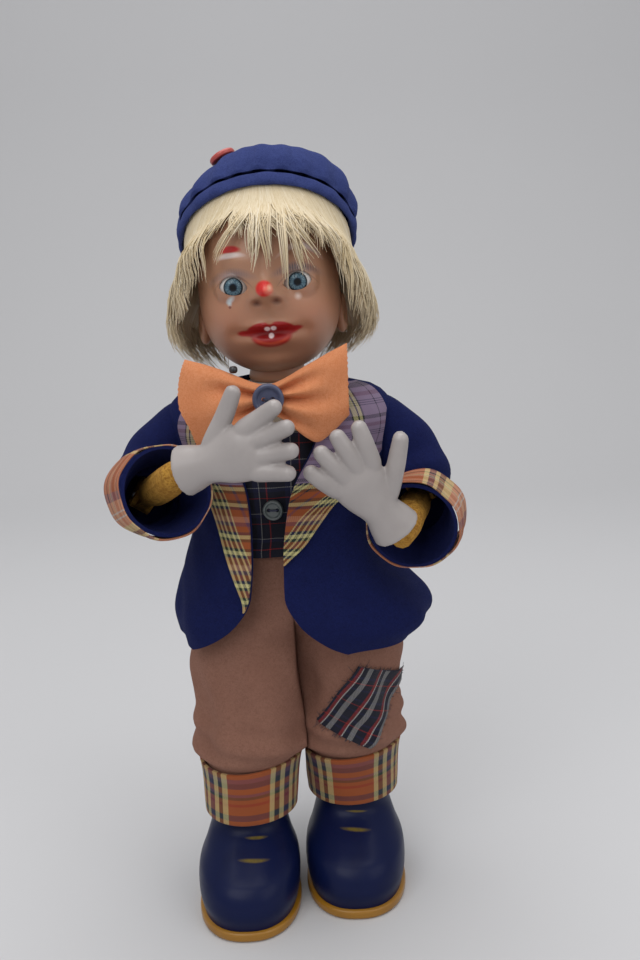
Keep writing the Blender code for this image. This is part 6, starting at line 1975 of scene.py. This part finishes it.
    def boot_look(self) -> bpy.types.Material:
        """Return the boot's paint with two gold dashes for laces."""
        look = BOOT_PAINT.look()
        look.material.name = f"boot_paint_{self.side.label}"
        graph = look.graph
        colour = look.shader.inputs["Base Color"].links[0].from_socket
        centre = in_body(self.ankle[0], self.ankle[1], 0.0)
        mapping = graph.node("Mapping", vector_type="TEXTURE")
        mapping.inputs["Location"].default_value = centre
        graph.feed(mapping.inputs["Vector"], look.place)
        wear = graph.noise(look.place, 500.0, 4.0)
        aside, drop = (0.0036, 0.0030) if self.side is Side.RIGHT else (0.0, 0.0)
        for x, z, half in ((0.0012 + aside, 0.0432 - drop, 0.0048), (0.0002 + aside, 0.0372 - drop, 0.0066)):
            dash = graph.group(PAINT_STROKE, Vector=mapping.outputs[0], Centre=(x, 0.0, z), Half_Width=half,
                               Half_Height=0.0005, Turn=-0.05, Bend=-2.0, Edge=0.4)
            worn = graph.math("MULTIPLY", dash.outputs["Mask"], graph.math("MULTIPLY_ADD", wear, 0.9, 0.45, clamp=True))
            colour = graph.mix(worn, colour, tint(108, 92, 42))
        look.set(Base_Color=colour, Specular_IOR_Level=0.14)
        return look.material


@dataclass
class KneePatch:
    """The plaid patch on the left knee, set askew, with frayed threads round it."""

    leg: Leg
    corners: tuple[tuple[float, float], ...] = ((0.0136, 0.1022), (0.0400, 0.0888), (0.0640, 0.1220), (0.0353, 0.1359))
    lift: float = 0.0006
    threads: int = 120
    thread_radius: float = 0.00013
    seed: int = 5

    def on_leg(self, x: float, z: float, out: float) -> Vector:
        """Return the point off the trousers' front at an x and a height."""
        centre = self.leg.middle(min(z, 0.150))
        turn = asin(max(-0.97, min(0.97, (x - centre.x) / (self.leg.leg_half[0] + self.leg.outer_slack))))
        return self.leg.cloth(z, turn, out)

    def flat(self, across: float, along: float) -> tuple[float, float]:
        """Return x and height on the patch at shares across and up it."""
        (ax, az), (bx, bz), (cx, cz), (dx, dz) = self.corners
        low = (ax + across * (bx - ax), az + across * (bz - az))
        high = (dx + across * (cx - dx), dz + across * (cz - dz))
        return low[0] + along * (high[0] - low[0]), low[1] + along * (high[1] - low[1])

    def build(self) -> None:
        """Add the patch and its loose threads."""

        def place(across: float, along: float) -> Vector:
            """Return the patch's point at shares across and up it."""
            lifted = self.lift + 0.0006 * (abs(2 * across - 1) ** 6 + abs(2 * along - 1) ** 6) * (
                0.5 + 0.5 * sin(14 * across + 9 * along))
            return self.on_leg(*self.flat(across, along), lifted)

        patch = lay_grid("knee_patch_plaid", 44, 44, place, (0.034, 0.034))
        modify(patch, "SOLIDIFY", thickness=0.0007, offset=1.0)
        soften(patch, 60.0)
        dress(patch, PATCH_PLAID.make(), "dark_plaid")
        settle(patch, "leg_left", "knee_patch")
        fray = self.fray()
        dress(fray, FeltFinish("frayed_thread", tint(54, 54, 70), tint(30, 32, 46), tint(160, 150, 150)).make(),
              "dark_plaid")
        settle(fray, "leg_left")

    def fray(self) -> bpy.types.Object:
        """Return the threads that stick out along the patch's edges, as one piece."""
        rng = np.random.default_rng(self.seed)
        points: list[Vector] = []
        faces: list[tuple[int, ...]] = []
        for index in range(self.threads):
            share = rng.random()
            edge = index % 4
            start = ((share, 0.0), (1.0, share), (share, 1.0), (0.0, share))[edge]
            away = ((0.0, -1.0), (1.0, 0.0), (0.0, 1.0), (-1.0, 0.0))[edge]
            length = rng.uniform(0.015, 0.07) * (3.0 if rng.random() < 0.05 else 1.0)
            drift = rng.normal(0.0, 0.35)
            line = []
            for step in range(5):
                reach = (step / 4 - 0.3) * length
                across = start[0] + away[0] * reach + drift * away[1] * reach
                along = start[1] + away[1] * reach + drift * away[0] * reach
                line.append(self.on_leg(*self.flat(across, along), self.lift + 0.0008 + 0.0010 * step / 4 * rng.random()))
            base = len(points)
            for step, point in enumerate(line):
                tangent = (line[min(step + 1, 4)] - line[max(step - 1, 0)]).normalized()
                across_dir = tangent.orthogonal().normalized()
                other = tangent.cross(across_dir)
                points.extend(point + self.thread_radius * (cos(a) * across_dir + sin(a) * other)
                              for a in (0.0, 2.094, 4.189))
            for step in range(4):
                for corner in range(3):
                    low = base + 3 * step
                    beside = (corner + 1) % 3
                    faces.append((low + corner, low + beside, low + 3 + beside, low + 3 + corner))
        mesh = bpy.data.meshes.new("knee_patch_fray")
        mesh.from_pydata(points, [], faces)
        obj = bpy.data.objects.new("knee_patch_fray", mesh)
        bpy.context.scene.collection.objects.link(obj)
        obj.data.shade_smooth()
        return obj


class InnerWorks:
    """The nodes of the frame that stay as they are, under the clothes or in the sleeves."""

    LOOKS = {
        STEEL: ("shoulder_rod", "shoulder_cap_right", "shoulder_cap_left", "hip_rod", "hip_cap_right", "hip_cap_left",
                "elbow_pin_right", "elbow_pin_left"),
        WOOD: ("spine_post", "neck_post", "leg_post_right", "leg_post_left"),
        FOAM: ("upper_arm_right", "upper_arm_left", "forearm_right", "forearm_left"),
        STUFFING: ("torso_stuffing",),
        RING_PAINT: ("neck_ring",),
    }

    def build(self) -> None:
        """Give each kept node its material."""
        for finish, names in self.LOOKS.items():
            look = finish.make()
            if finish is STEEL:
                look.node_tree.nodes["Principled BSDF"].inputs["Metallic"].default_value = 1.0
            for name in names:
                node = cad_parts[name]
                node.data.materials.clear()
                node.data.materials.append(look)
                log.info("%s kept from the frame", name)


def arms() -> list[Arm]:
    """Return both arms with their directions."""
    return [
        Arm(Side.RIGHT, Vector((-0.42, -0.48, -0.77)), Vector((0.463, -0.797, 0.389)),
            Vector((-0.0430, -0.0672, 0.2508)), Vector((0.88, -0.35, 0.29)), Vector((0.0, 0.0, 1.0))),
        Arm(Side.LEFT, Vector((0.45, -0.20, -0.86)), Vector((-0.270, -0.960, -0.060)),
            Vector((0.0550, -0.0630, 0.2180)), Vector((-0.55, -0.27, 0.79)), Vector((0.78, 0.0, 0.62))),
    ]


def main() -> None:
    """Build the studio and dress the doll piece by piece."""
    logging.basicConfig(level=logging.INFO, format="%(name)s: %(message)s")
    Studio().build()
    InnerWorks().build()
    head = Head()
    head.build()
    cap = Cap(head)
    cap.build()
    Wig(head, cap).build()
    Jacket().build()
    BowTie().build()
    for arm in arms():
        arm.build()
    right = Leg(Side.RIGHT, (-0.0270, -0.0110, 0.0640))
    left = Leg(Side.LEFT, (0.0315, 0.0040, 0.0640))
    for leg in (right, left):
        leg.build()
    KneePatch(left).build()


if __name__ == "__main__":
    main()
